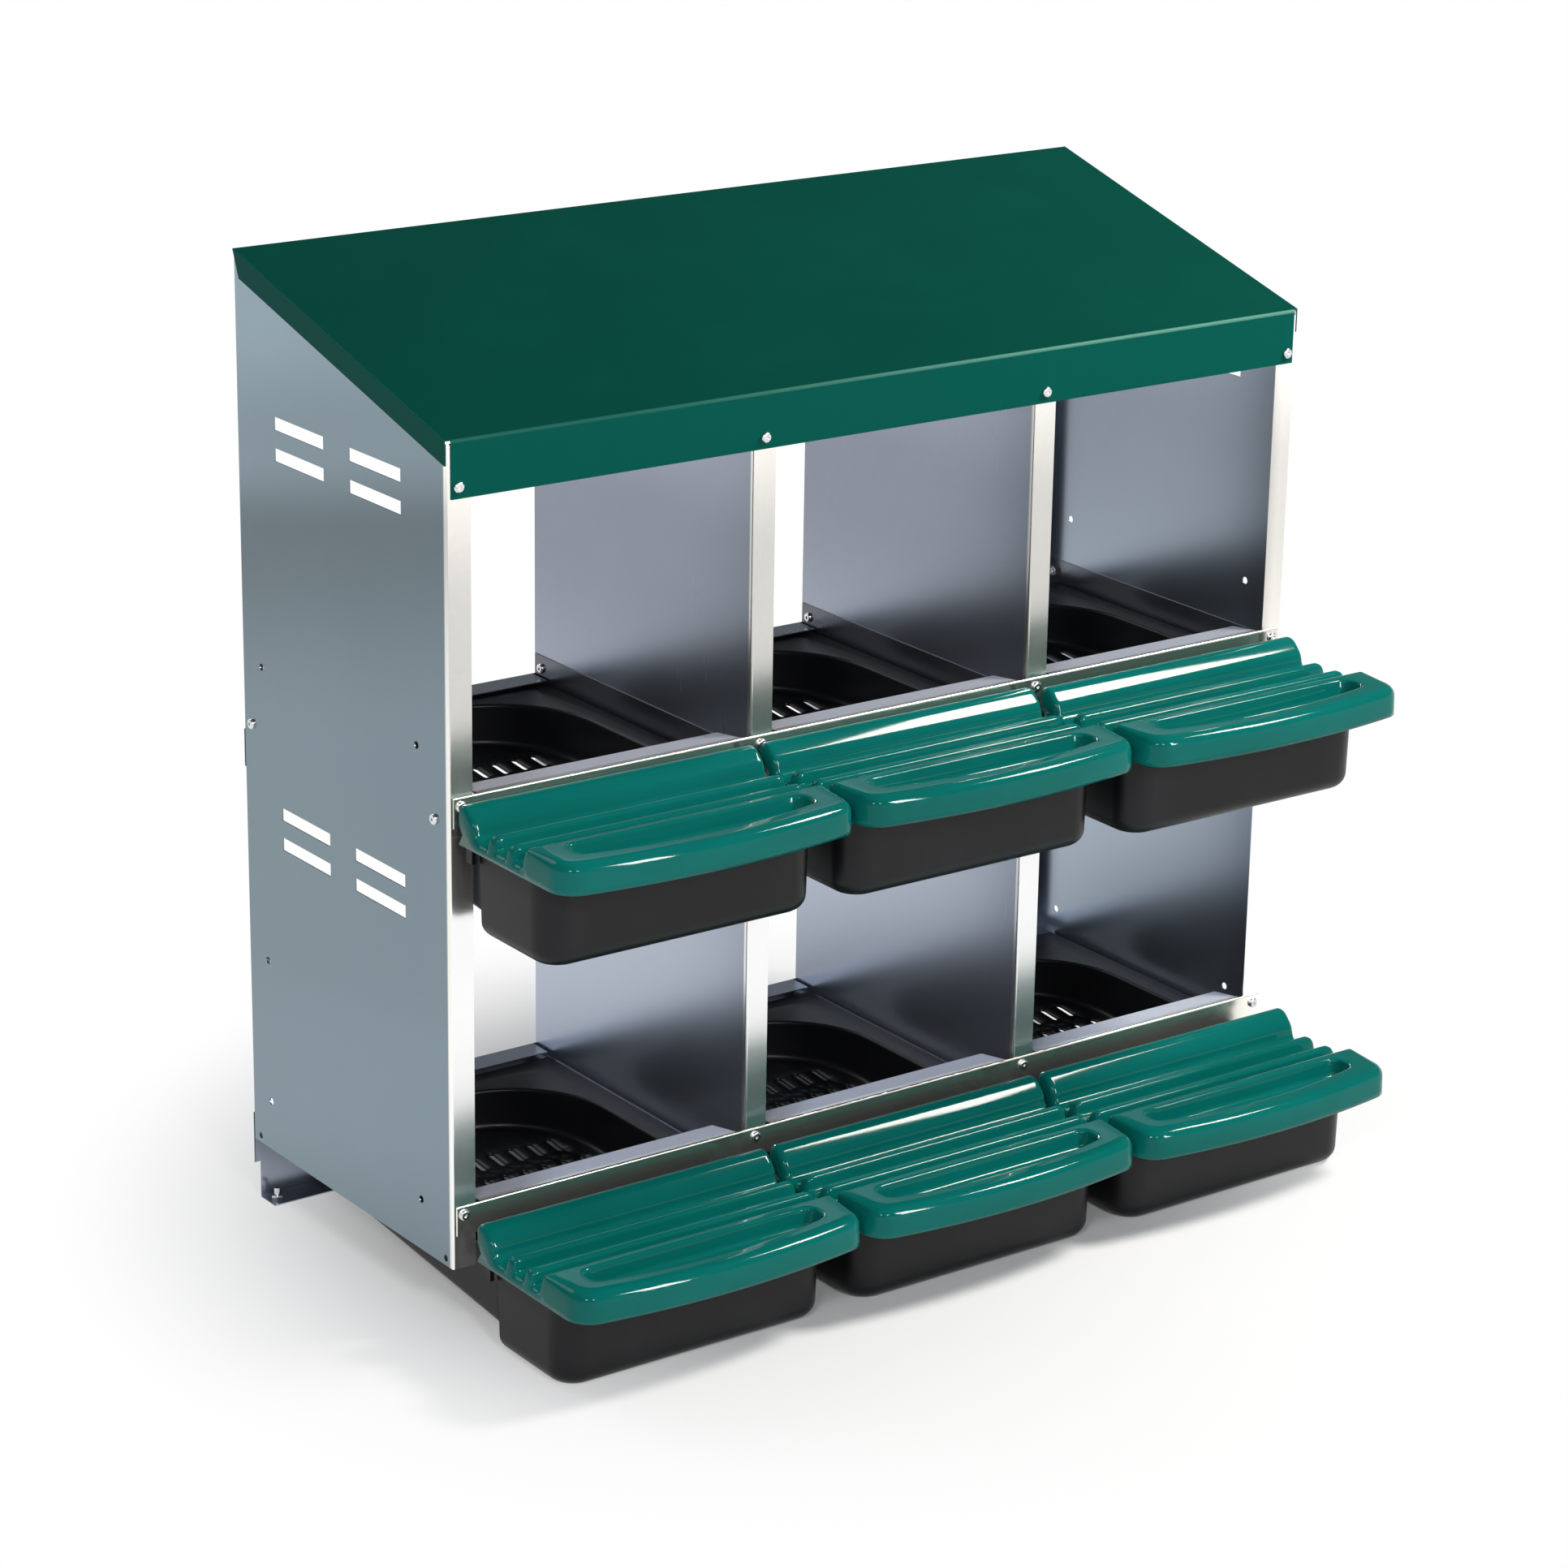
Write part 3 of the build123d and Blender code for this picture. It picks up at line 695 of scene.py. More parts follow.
class Surface:
    """Points and faces of one piece, gathered from grids in the piece's own frame."""

    def __init__(self) -> None:
        """Starts with no faces."""
        self._points: List[np.ndarray] = []
        self._faces: List[np.ndarray] = []
        self._count = 0

    def patch(self, points: np.ndarray, faces: np.ndarray) -> None:
        """Adds faces on their own points.

        Args:
            points: Points, shape (n, 3).
            faces: Corner numbers of faces, shape (m, corners).
        """
        self._points.append(points)
        self._faces.append(faces + self._count)
        self._count += len(points)

    def grid(
        self, points: np.ndarray, keep: Optional[np.ndarray] = None, loop: bool = False, tube: bool = False
    ) -> None:
        """Adds the quads between neighbouring points of a grid.

        Args:
            points: Grid of points, shape (rows, columns, 3).
            keep: Which quads are made, one value for each; all of them if it is left out.
            loop: Whether the last column joins the first.
            tube: Whether the last row joins the first.
        """
        rows, columns = points.shape[:2]
        number = np.arange(rows * columns).reshape(rows, columns)
        if loop:
            number = np.concatenate([number, number[:, :1]], axis=1)
        if tube:
            number = np.concatenate([number, number[:1]], axis=0)
        quads = np.stack([number[:-1, :-1], number[:-1, 1:], number[1:, 1:], number[1:, :-1]], axis=-1)
        chosen = quads.reshape(-1, 4) if keep is None else quads[keep]
        self.patch(points.reshape(-1, 3), chosen)

    def polygon(self, points: np.ndarray) -> None:
        """Adds one flat face with the given points round it."""
        self.patch(points, np.arange(len(points))[None])

    def piece(
        self, name: str, origin: np.ndarray, finish: Finish, wall: float = 0.0
    ) -> bpy.types.Object:
        """Makes the object: welded, turned to face up and out, smooth, and thickened if it is a sheet.

        A sheet that is open below has a net area that points up when its faces are the right way
        round, so a sheet whose net area points down is turned over.

        Args:
            name: Name of the object.
            origin: Place of the piece's own origin in the CAD frame, in millimetres.
            finish: The finish that it wears.
            wall: Thickness of a sheet, in millimetres, laid behind its faces.

        Returns:
            The object, at the origin, with its place in its mesh.
        """
        points = np.concatenate(self._points) * TO_CAD + origin
        mesh = bpy.data.meshes.new(name)
        faces = [face for block in self._faces for face in block.tolist()]
        mesh.from_pydata((points * MM).tolist(), [], faces)
        shell = bmesh.new()
        shell.from_mesh(mesh)
        bmesh.ops.remove_doubles(shell, verts=shell.verts, dist=WELD * MM)
        bmesh.ops.dissolve_degenerate(shell, edges=shell.edges, dist=WELD * MM / 2)
        bmesh.ops.recalc_face_normals(shell, faces=shell.faces)
        rise = sum(face.normal.z * face.calc_area() for face in shell.faces)
        if wall and rise < 0:
            bmesh.ops.reverse_faces(shell, faces=shell.faces)
        shell.to_mesh(mesh)
        shell.free()
        mesh.shade_smooth()
        mesh.set_sharp_from_angle(angle=SHARP)
        made = bpy.data.objects.new(name, mesh)
        bpy.context.scene.collection.objects.link(made)
        if wall:
            layer = made.modifiers.new("wall", "SOLIDIFY")
            layer.thickness = wall * MM
            layer.offset = -1.0
        finish.wear(made)
        return made


@dataclass
class Moulding:
    """A moulded piece of one nest."""

    tier: Tier
    bay: Bay
    finish: Finish

    @property
    def key(self) -> str:
        """Tier and bay, as the CAD names end."""
        return f"{self.tier.value}_{self.bay.value}"


@dataclass
class EggLid(Moulding):
    """Hollow lid of an egg box: ridge, two ribs, and a deck with a grip recess, hinged on pegs."""

    half: float = 151.0
    wall: float = 2.5
    ridge_height: float = 33.0
    ridge_curl: Tuple[Tuple[float, float], ...] = ((5.0, 6.0), (0.0, 15.0))
    ridge_crown: float = 12.0
    ridge_slope: Tuple[float, float] = (24.0, 21.0)
    ridge_foot: float = 28.0
    ridge_radii: Tuple[float, ...] = (6.0, 6.4, 12.0, 20.0, 9.5)
    hinge_reach: float = 10.5
    hinge_height: float = 22.5
    valley: float = 6.0
    rib_height: float = 19.0
    rib_middles: Tuple[float, float] = (51.5, 80.0)
    rib_crown: float = 4.5
    rib_base: float = 7.7
    rib_radii: Tuple[float, ...] = (4.6, 4.4, 4.4, 5.0)
    rib_foot: float = 11.5
    rib_end: float = 142.0
    rib_round: float = 9.0
    rib_tip: float = 0.35
    deck: float = 25.0
    deck_foot: float = 98.5
    deck_radii: Tuple[float, ...] = (4.6, 6.5)
    deck_start: float = 104.5
    deck_join: float = 110.0
    skirt: float = -2.0
    tail: float = 3.0
    corner_reach: float = 162.0
    nose_reach: float = 176.0
    corner_radius: float = 24.0
    end_round: float = 5.2
    edge_round: float = 9.5
    lean: float = 1.0
    notch: Tuple[float, float] = (139.5, 4.7)
    grip_half: float = 124.0
    grip_back: float = 113.0
    grip_corner: float = 143.0
    grip_nose: float = 158.0
    grip_radius: float = 13.0
    grip_depth: float = 17.0
    grip_rim: float = 4.0
    grip_foot: float = 6.5
    grip_slope: float = math.radians(75.0)
    peg_radius: float = 3.0
    peg_length: float = 7.5
    peg_chamfer: float = 0.6
    peg_tip: float = 0.8
    peg_points: int = 24
    arc_points: int = 8
    corner_points: int = 9
    side_points: int = 6
    grip_columns: int = 11
    grip_turn_points: int = 5
    grip_wall_points: int = 7

    @property
    def wall_steps(self) -> np.ndarray:
        """Shares of the way down a side wall at which its points lie."""
        return np.array([0.25, 0.5, 0.75, 1.0])

    def origin(self) -> np.ndarray:
        """Middle of the ridge's back plane at rim height, read from the CAD lid, in millimetres."""
        low, high = (np.array(corner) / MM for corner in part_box(f"egg_lid_{self.key}"))
        return np.array([(low[0] + high[0]) / 2, high[1], high[2] - self.ridge_height])

    def profile(self) -> np.ndarray:
        """Side view of the lid's top from the curled back of the ridge to the deck.

        Returns:
            Points (v, h): the ridge, a valley, a rib, a valley, a rib, a valley and the deck.
        """
        low, rib, top = self.valley, self.rib_height, self.ridge_height
        base, crown = self.rib_base, self.rib_crown
        ribs = [
            (middle + side, height)
            for middle in self.rib_middles
            for side, height in ((-base, low), (-crown, rib), (crown, rib), (base, low))
        ]
        corners = [
            *self.ridge_curl, (0.0, top), (self.ridge_crown, top), self.ridge_slope, (self.ridge_foot, low),
            *ribs, (self.deck_foot, low), (self.deck_start, self.deck), (self.deck_join, self.deck),
        ]
        radii = [*self.ridge_radii, *self.rib_radii, *self.rib_radii[::-1], *self.deck_radii]
        return rounded_path(np.array(corners), np.array(radii), self.arc_points)

    def on_ribs(self) -> np.ndarray:
        """Which points of the profile lie on each rib, shape (ribs, points)."""
        return np.abs(self.profile()[:, 0] - np.array(self.rib_middles)[:, None]) < self.rib_foot

    def columns(self) -> np.ndarray:
        """Places across the lid, close together where the ribs end and the hinge notches start.

        Returns:
            The places x, from left to right.
        """
        edge = self.half - self.end_round
        outer = np.array([self.notch[0], self.rib_end, (self.rib_end + edge) / 2, edge])
        inner = np.linspace(-1.0, 1.0, self.grip_columns) * self.grip_half
        return np.concatenate([-outer[::-1], inner, outer])

    def ribbed(self, plain: np.ndarray, across: np.ndarray) -> np.ndarray:
        """Adds the ribs to lines of points on the plain top.

        Past the start of its end, a rib's height over the valleys and its width about its middle
        line shrink as a quarter circle does, and the width keeps a narrow tip.

        Args:
            plain: Points (v, h), point for point with the profile, shape (lines, points, 2).
            across: Place x of each line, shape (lines, 1).

        Returns:
            Points (x, v, h).
        """
        past = np.clip((np.abs(across) - self.rib_end) / self.rib_round, 0.0, 1.0)
        share = np.sqrt(1 - past**2)
        forward, height = plain[..., 0], plain[..., 1]
        for middle, on_rib in zip(self.rib_middles, self.on_ribs()):
            height = np.where(on_rib, height + (self.profile()[:, 1] - self.valley) * share, height)
            narrowed = middle + (forward - middle) * (self.rib_tip + (1 - self.rib_tip) * share)
            forward = np.where(on_rib, narrowed, forward)
        return np.stack([np.broadcast_to(across, height.shape), forward, height], axis=-1)

    def add_ribs(self, shell: Surface) -> None:
        """Adds the ribbed top, its rounded ends and its side walls.

        At each end the plain profile turns down through a quarter circle while it shrinks along
        its own normals, with the ends of the ribs on it, and a flat wall closes the end.

        Args:
            shell: The lid's surface.
        """
        path, columns = self.profile(), self.columns()
        plain = plan_line(path[:, 0], np.where(self.on_ribs().any(axis=0), self.valley, path[:, 1]))
        behind = (path[:-1, 0] < self.notch[1]) & (path[1:, 0] < self.notch[1])
        notched = np.abs(columns[:-1] + columns[1:]) / 2 > self.notch[0]
        lines = np.broadcast_to(plain, (len(columns), *plain.shape))
        shell.grid(self.ribbed(lines, columns[:, None]), ~(notched[:, None] & behind))
        angle = quarter(self.arc_points)[:, None]
        rolled = plain - path_normals(plain) * (self.end_round * (1 - np.cos(angle)))[..., None]
        side = self.ribbed(rolled, self.half - self.end_round * (1 - np.sin(angle)))
        bottom = self.deck - self.end_round
        seam = bottom + (self.skirt - bottom) * self.wall_steps
        seam = raised(np.tile((self.half, self.deck_join), (len(seam), 1)), seam)
        rear = np.array([(self.half, self.tail, self.skirt)])
        end = np.concatenate([side[-1], seam, rear])
        for flip in ((1.0, 1.0, 1.0), MIRROR):
            shell.grid(side * flip)
            shell.polygon(end * flip)

    def add_deck(self, shell: Surface) -> None:
        """Adds the deck round the grip, its rolled edge, and its front and side walls.

        The deck is a flat ring between the outline, drawn in by the edge radius, and the rim of
        the grip. The edge turns down through a quarter circle, and the wall leans out to the skirt.
        Both the edge radius and the lean grow evenly along the sides, from those of the ribs' ends.

        Args:
            shell: The lid's surface.
        """
        columns = self.columns()
        front, normals = bowed_front(
            self.half, self.corner_reach, self.nose_reach, self.corner_radius,
            self.corner_points, columns.size,
        )
        right = plan_line(self.half, np.linspace(self.deck_join, front[0, 1], self.side_points)[:-1])
        chain = np.concatenate([right, front, right[::-1] * MIRROR_PLAN])
        sideways = np.tile((1.0, 0.0), (len(right), 1))
        outward = np.concatenate([sideways, normals, -sideways])
        grown = np.clip((chain[:, 1] - self.deck_join) / (front[0, 1] - self.deck_join), 0.0, 1.0)
        edge = self.end_round + (self.edge_round - self.end_round) * grown
        inset = chain - outward * edge[:, None]
        outer = np.concatenate([plan_line(columns, self.deck_join), inset[1:-1]])
        rim, inward = self.grip_outline()
        share = np.array([0.0, 0.4, 0.8, 1.0])[:, None, None]
        shell.grid(raised(outer + (rim - outer) * share, self.deck), loop=True)
        self.add_grip(shell, rim, inward)
        angle = quarter(self.arc_points)[:, None]
        turned = self.deck - edge * (1 - np.cos(angle))
        fall = turned[-1] + (self.skirt - turned[-1]) * self.wall_steps[:, None]
        height = np.concatenate([turned, fall])
        draw = np.concatenate([edge * (1 - np.sin(angle)), np.zeros_like(fall)])
        draw[1:] += (self.lean * grown * (height - self.skirt) / (self.deck - self.skirt))[1:]
        shell.grid(raised(chain - outward * draw[..., None], height))

    def grip_outline(self) -> Tuple[np.ndarray, np.ndarray]:
        """Rim of the grip recess, point for point with the deck's outline.

        Returns:
            Points (x, v) from the back left, and the directions into the recess.
        """
        count, radius = self.columns().size, self.grip_radius
        front, normals = bowed_front(
            self.grip_half, self.grip_corner, self.grip_nose, radius, self.corner_points, count
        )
        turn = headings(np.linspace(-math.pi / 2, 0.0, self.grip_turn_points)[1:])
        edge = self.grip_half - radius
        right = (edge, self.grip_back + radius) + turn * radius
        back = plan_line(np.linspace(-edge, edge, count), self.grip_back)
        points = np.concatenate([back, right, front, right[::-1] * MIRROR_PLAN])
        rearward = np.tile((0.0, -1.0), (count, 1))
        facing = np.concatenate([rearward, turn, normals, turn[::-1] * MIRROR_PLAN])
        return points, -facing

    def add_grip(self, shell: Surface, rim: np.ndarray, inward: np.ndarray) -> None:
        """Adds the grip recess: a rounded rim, a sloping wall, a wide foot and a flat floor.

        Going in from the rim, the section is an arc that turns down to the slope of the wall, the
        wall, and an arc that turns back to level. The floor closes on a line along the middle.

        Args:
            shell: The lid's surface.
            rim: Points (x, v) of the rim.
            inward: Directions into the recess there.
        """
        turn = np.linspace(0.0, self.grip_slope, self.grip_wall_points)
        rim_in = self.grip_rim * np.sin(turn)
        rim_down = self.grip_rim * (1 - np.cos(turn))
        foot_down = self.grip_foot * (1 - math.cos(self.grip_slope))
        wall_down = self.grip_depth - rim_down[-1] - foot_down
        wall_in = wall_down / math.tan(self.grip_slope)
        foot_in = rim_in[-1] + wall_in + self.grip_foot * (math.sin(self.grip_slope) - np.sin(turn[::-1]))
        foot_fall = self.grip_depth - self.grip_foot * (1 - np.cos(turn[::-1]))
        reach = np.concatenate([rim_in, foot_in])
        depth = np.concatenate([rim_down, foot_fall])
        walls = raised(rim + inward * reach[:, None, None], (self.deck - depth)[:, None])
        edge = walls[-1]
        count = self.columns().size
        line = np.linspace(-1.0, 1.0, count) * (self.grip_half - 2 * self.grip_radius)
        ends = (len(rim) - 2 * count) // 2
        middle_x = np.concatenate([line, np.full(ends, line[-1]), line[::-1], np.full(ends, line[0])])
        bow = (self.grip_nose - self.grip_corner) * (1 - (middle_x / self.grip_half) ** 2)
        middle_v = (self.grip_back + self.grip_corner + bow) / 2
        centre = np.stack([middle_x, middle_v, edge[:, 2]], axis=1)
        shell.grid(np.concatenate([walls, halved(edge, centre)]), loop=True)

    def pegs(self, origin: np.ndarray) -> bpy.types.Object:
        """Makes the two hinge pegs: rings along each peg, from a closed tip to a closed root.

        Args:
            origin: Place of the lid.

        Returns:
            The pegs.
        """
        turn = circle(self.peg_points)
        along = np.array([0.0, 0.0, self.peg_chamfer, self.peg_length, self.peg_length])
        along += self.half - self.wall - self.peg_length
        radius = self.peg_radius * np.array([0.0, self.peg_tip, 1.0, 1.0, 0.0])[:, None]
        ring = np.stack([
            np.broadcast_to(along[:, None], (len(along), len(turn))),
            self.hinge_reach + radius * np.cos(turn),
            self.hinge_height + radius * np.sin(turn),
        ], axis=-1)
        pair = Surface()
        pair.grid(ring, loop=True)
        pair.grid(ring * MIRROR, loop=True)
        return pair.piece(f"lid_pegs_{self.key}", origin, self.finish)

    def build(self) -> None:
        """Makes the lid and its pegs and hangs them on the lid's body."""
        origin = self.origin()
        shell = Surface()
        self.add_ribs(shell)
        self.add_deck(shell)
        lid = shell.piece(f"lid_shell_{self.key}", origin, self.finish, self.wall)
        for piece in (lid, self.pegs(origin)):
            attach(piece, f"lid_{self.key}")
        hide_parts(f"egg_lid_{self.key}")
        LOG.info("lid %s: %d faces", self.key, len(lid.data.polygons))


@dataclass
class NestTray(Moulding):
    """Moulded tray: a nest bowl with a slotted sloping floor, a throat, an egg box and hinge ears."""

    wall: float = 2.2
    rear: float = 350.0
    rim_half: float = 151.0
    shoulder: float = 35.0
    rim_round: float = 3.0
    bowl_half: float = 126.8
    bowl_corner: float = 102.8
    bowl_back: float = 317.8
    bowl_foot: float = 6.0
    floor_front: float = -67.0
    floor_rear: float = -38.0
    floor_run: float = 320.0
    throat_wall: Tuple[float, float] = (2.0, 8.7)
    ledge_run: float = 0.1
    mouth: float = -18.2
    slot_size: Tuple[float, float] = (6.0, 26.0)
    slot_pitch: float = 21.0
    slot_row: float = 42.0
    slot_first: float = 44.0
    slot_margin: float = 12.0
    slot_columns: int = 12
    slot_rows: int = 7
    box_half: float = 137.8
    box_front: float = -119.8
    box_corner: float = 25.8
    box_floor: float = -81.5
    box_edge: float = 2.0
    box_foot: float = 11.8
    box_draft: float = math.tan(math.radians(1.0))
    flange: float = 7.7
    flange_back: float = -2.0
    ear_faces: Tuple[float, float] = (141.5, 145.5)
    ear_axis: Tuple[float, float] = (10.5, 22.5)
    ear_half: float = 4.5
    ear_drop: float = 18.0
    ear_head: float = 5.5
    ear_bore: float = 3.05
    ear_points: int = 40
    arc_points: int = 8
    bend_points: int = 17
    side_points: int = 7
    slot_end_points: int = 9
    mouth_points: int = 9
    corner_points: int = 9
    lip_points: int = 5

    def origin(self) -> np.ndarray:
        """Middle of the lid ridge's back plane at rim height, read from the CAD tray.

        Returns:
            The place in the CAD frame, in millimetres.
        """
        low, high = (np.array(corner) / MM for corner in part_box(f"nest_tray_{self.key}"))
        top = self.ear_axis[1] + self.ear_head
        return np.array([(low[0] + high[0]) / 2, high[1] - self.rear, high[2] - top])

    def floor(self, depth: np.ndarray) -> np.ndarray:
        """Height of the nest floor, which falls evenly towards the throat."""
        return self.floor_front + (self.floor_rear - self.floor_front) * depth / self.floor_run

    def slots(self) -> np.ndarray:
        """Middles of the floor slots.

        Columns are half a slot pitch apart and every other row is shifted by one. A slot stays
        where it clears the walls and the round back of the bowl by the margin.

        Returns:
            Points (x, depth).
        """
        columns = np.arange(-self.slot_columns, self.slot_columns + 1)
        column, row = np.meshgrid(columns, np.arange(self.slot_rows), indexing="ij")
        x = column * self.slot_pitch / 2
        depth = self.slot_first + row * self.slot_row
        over_x = np.maximum(np.abs(x) - (self.bowl_half - self.bowl_corner), 0.0)
        over_depth = np.maximum(depth + self.slot_size[1] / 2 - (self.bowl_back - self.bowl_corner), 0.0)
        clear = np.hypot(over_x, over_depth) < self.bowl_corner - self.slot_margin
        inside = np.abs(x) < self.bowl_half - self.slot_margin
        chosen = clear & inside & ((column + row) % 2 == 0)
        return np.stack([x[chosen], depth[chosen]], axis=1)

    def floor_line(self) -> Tuple[np.ndarray, np.ndarray]:
        """Line round the floor: straight sides from the mouth, then a quarter circle at each corner.

        Returns:
            Points (x, depth) from the left mouth to the right mouth, and their outward normals.
        """
        reach = self.bowl_corner - self.bowl_foot
        centre = np.array([self.bowl_half - self.bowl_corner, self.bowl_back - self.bowl_corner])
        turn = headings(quarter(self.bend_points))
        throat = self.throat_wall[0]
        ledges = [self.mouth, throat - self.ledge_run, throat, self.shoulder - self.ledge_run]
        depth = np.concatenate([ledges, np.linspace(self.shoulder, centre[1], self.side_points)[:-1]])
        side = np.concatenate([plan_line(centre[0] + reach, depth), centre + reach * turn])
        lean = np.concatenate([np.tile((1.0, 0.0), (len(depth), 1)), turn])
        return (
            np.concatenate([side * MIRROR_PLAN, side[::-1]]),
            np.concatenate([lean * MIRROR_PLAN, lean[::-1]]),
        )

    def add_floor(self, shell: Surface, line: np.ndarray) -> None:
        """Adds the flat floor: triangles between the line round it and the outlines of its slots.

        A slot's outline is half a circle at each end, half the slot's width in radius. A triangle
        whose middle lies within that radius of a slot's middle line is left out.

        Args:
            shell: The tray's surface.
            line: Points (x, depth) round the floor.
        """
        middle = self.slots()
        radius = self.slot_size[0] / 2
        straight = self.slot_size[1] / 2 - radius
        end = (0.0, straight) + radius * headings(np.linspace(0.0, math.pi, self.slot_end_points))
        loop = np.concatenate([end, -end])
        slots = (middle[:, None] + loop).reshape(-1, 2)
        first = len(line) + np.arange(len(slots)) // len(loop) * len(loop)
        number = np.arange(len(slots)) % len(loop)
        round_line = np.stack([np.arange(len(line)), np.roll(np.arange(len(line)), -1)], axis=1)
        round_slots = np.stack([first + number, first + (number + 1) % len(loop)], axis=1)
        corners = [Vector(corner) for corner in np.concatenate([line, slots]).tolist()]
        edges = np.concatenate([round_line, round_slots]).tolist()
        inside_the_line = 1
        plan, _, faces, *_ = delaunay_2d_cdt(corners, edges, [], inside_the_line, WELD / 100)
        plan, faces = np.array(plan), np.array(faces)
        off = np.abs(plan[faces].mean(axis=1)[:, None] - middle)
        solid = (np.hypot(off[..., 0], np.maximum(off[..., 1] - straight, 0.0)) > radius).all(axis=1)
        shell.patch(np.stack([plan[:, 0], -plan[:, 1], self.floor(plan[:, 1])], axis=1), faces[solid])

    def add_bowl(self, shell: Surface) -> None:
        """Adds the bowl: its slotted floor, rounded foot, walls, rounded edge and rim.

        Each loop is the line round the floor moved out along its normals: a quarter circle for
        the foot, straight walls, a quarter circle for the edge, and the rim's own outline. Along
        the throat the walls rise straight instead.

        Args:
            shell: The tray's surface.
        """
        line, normals = self.floor_line()
        self.add_floor(shell, line)
        depth = line[:, 1]
        angle = quarter(self.arc_points)[:, None]
        edge_angle = angle[1:]
        edge = slice(-len(edge_angle), None)
        rise = np.array([0.3, 0.65, 1.0])[:, None]
        foot_height = self.floor(depth) + self.bowl_foot * (1 - np.cos(angle))
        wall_height = foot_height[-1] + (-self.rim_round - foot_height[-1]) * rise
        edge_height = np.tile(self.rim_round * (np.sin(edge_angle) - 1), len(line))
        height = np.concatenate([foot_height, wall_height, edge_height])
        out = np.tile(np.concatenate([
            self.bowl_foot * np.sin(angle),
            np.full_like(rise, self.bowl_foot),
            self.bowl_foot + self.rim_round * (1 - np.cos(edge_angle)),
        ]), len(line))
        in_throat = depth < self.shoulder - WELD
        raised_wall = in_throat & (depth > self.throat_wall[0] - WELD)
        top = np.where(raised_wall, self.throat_wall[1], 0.0)
        climb = np.linspace(0.0, 1.0, self.arc_points)[1:, None]
        straight = -self.rim_round + (top + self.rim_round) * climb
        height[edge] = np.where(in_throat, straight, height[edge])
        out[edge] = np.where(in_throat, self.bowl_foot, out[edge])
        plan = line + normals * out[..., None]
        rim = np.where(in_throat[:, None], plan[-1], self.rim_line(plan[-1], normals))
        plan = np.concatenate([plan, halved(plan[-1], rim)])
        height = np.concatenate([height, height[-1:], height[-1:]])
        shell.grid(np.stack([plan[..., 0], -plan[..., 1], height], axis=-1))

    def rim_line(self, edge: np.ndarray, normals: np.ndarray) -> np.ndarray:
        """Outer line of the rim for each point of the bowl's edge.

        Side points go straight out. Round the back, the first half of each bend spreads along
        the side up to the corner, and the second half spreads along the rear.

        Args:
            edge: Points (x, depth) of the bowl's edge.
            normals: Their outward normals.

        Returns:
            Points (x, depth) on the rim's outline.
        """
        turn = np.arctan2(normals[:, 1], np.abs(normals[:, 0])) / (math.pi / 2)
        bend = self.bowl_back - self.bowl_corner
        along = bend + (self.rear - bend) * np.clip(2 * turn, 0.0, 1.0)
        depth = np.where(turn > 0, along, edge[:, 1])
        tip = self.bowl_half - self.bowl_corner
        inner = self.rim_half + (tip - self.rim_half) * np.clip(2 * turn - 1, 0.0, 1.0)
        side = np.sign(edge[:, 0]) * np.where(turn > 0.5, inner, self.rim_half)
        x = np.where(np.abs(edge[:, 0]) < tip - WELD, edge[:, 0], side)
        return np.stack([x, depth], axis=1)

    def box_plan(self) -> Tuple[np.ndarray, np.ndarray]:
        """Plan of the egg box: a rectangle, square behind and rounded in front.

        Returns:
            Points (x, v), the back first from left to right, and their outward normals.
        """
        mouth = np.linspace(-self.bowl_half, self.bowl_half, self.mouth_points)
        back = plan_line(np.concatenate([[-self.box_half], mouth, [self.box_half]]), -self.mouth)
        front_x, front_v = self.box_half - self.box_corner, -self.box_front - self.box_corner
        turn = headings(quarter(self.corner_points))
        right = (front_x, front_v) + turn * self.box_corner
        nose = plan_line(np.linspace(front_x, -front_x, len(back)), -self.box_front)[1:-1]
        rearward, forward = np.tile((0.0, -1.0), (len(back), 1)), np.tile((0.0, 1.0), (len(nose), 1))
        rearward[[0, -1], 0] = (-1.0, 1.0)
        plan = np.concatenate([back, right, nose, right[::-1] * MIRROR_PLAN])
        return plan, np.concatenate([rearward, turn, forward, turn[::-1] * MIRROR_PLAN])

    def box_section(self, step: float) -> Tuple[np.ndarray, np.ndarray]:
        """Section of the egg box from its edge down to its floor.

        The edge is a quarter circle, the wall leans in with the draft, and the foot is a quarter
        circle that ends on the floor.

        Args:
            step: Height of the nest floor at the mouth, which gets a row of its own.

        Returns:
            How far outside the plan each row lies, and its height, each of shape (rows, 1).
        """
        lip, bend = quarter(self.lip_points)[:, None], quarter(self.arc_points)[1:, None]
        foot_top = self.box_floor + self.box_foot
        wall_height = np.array([0.4 * foot_top, 0.7 * foot_top, max(step, foot_top), foot_top])[:, None]
        out = np.concatenate([
            self.box_edge * (1 - np.sin(lip)),
            wall_height * self.box_draft,
            foot_top * self.box_draft - self.box_foot * (1 - np.cos(bend)),
        ])
        height = np.concatenate([
            self.box_edge * (np.cos(lip) - 1),
            wall_height,
            foot_top - self.box_foot * np.sin(bend),
        ])
        return out, height

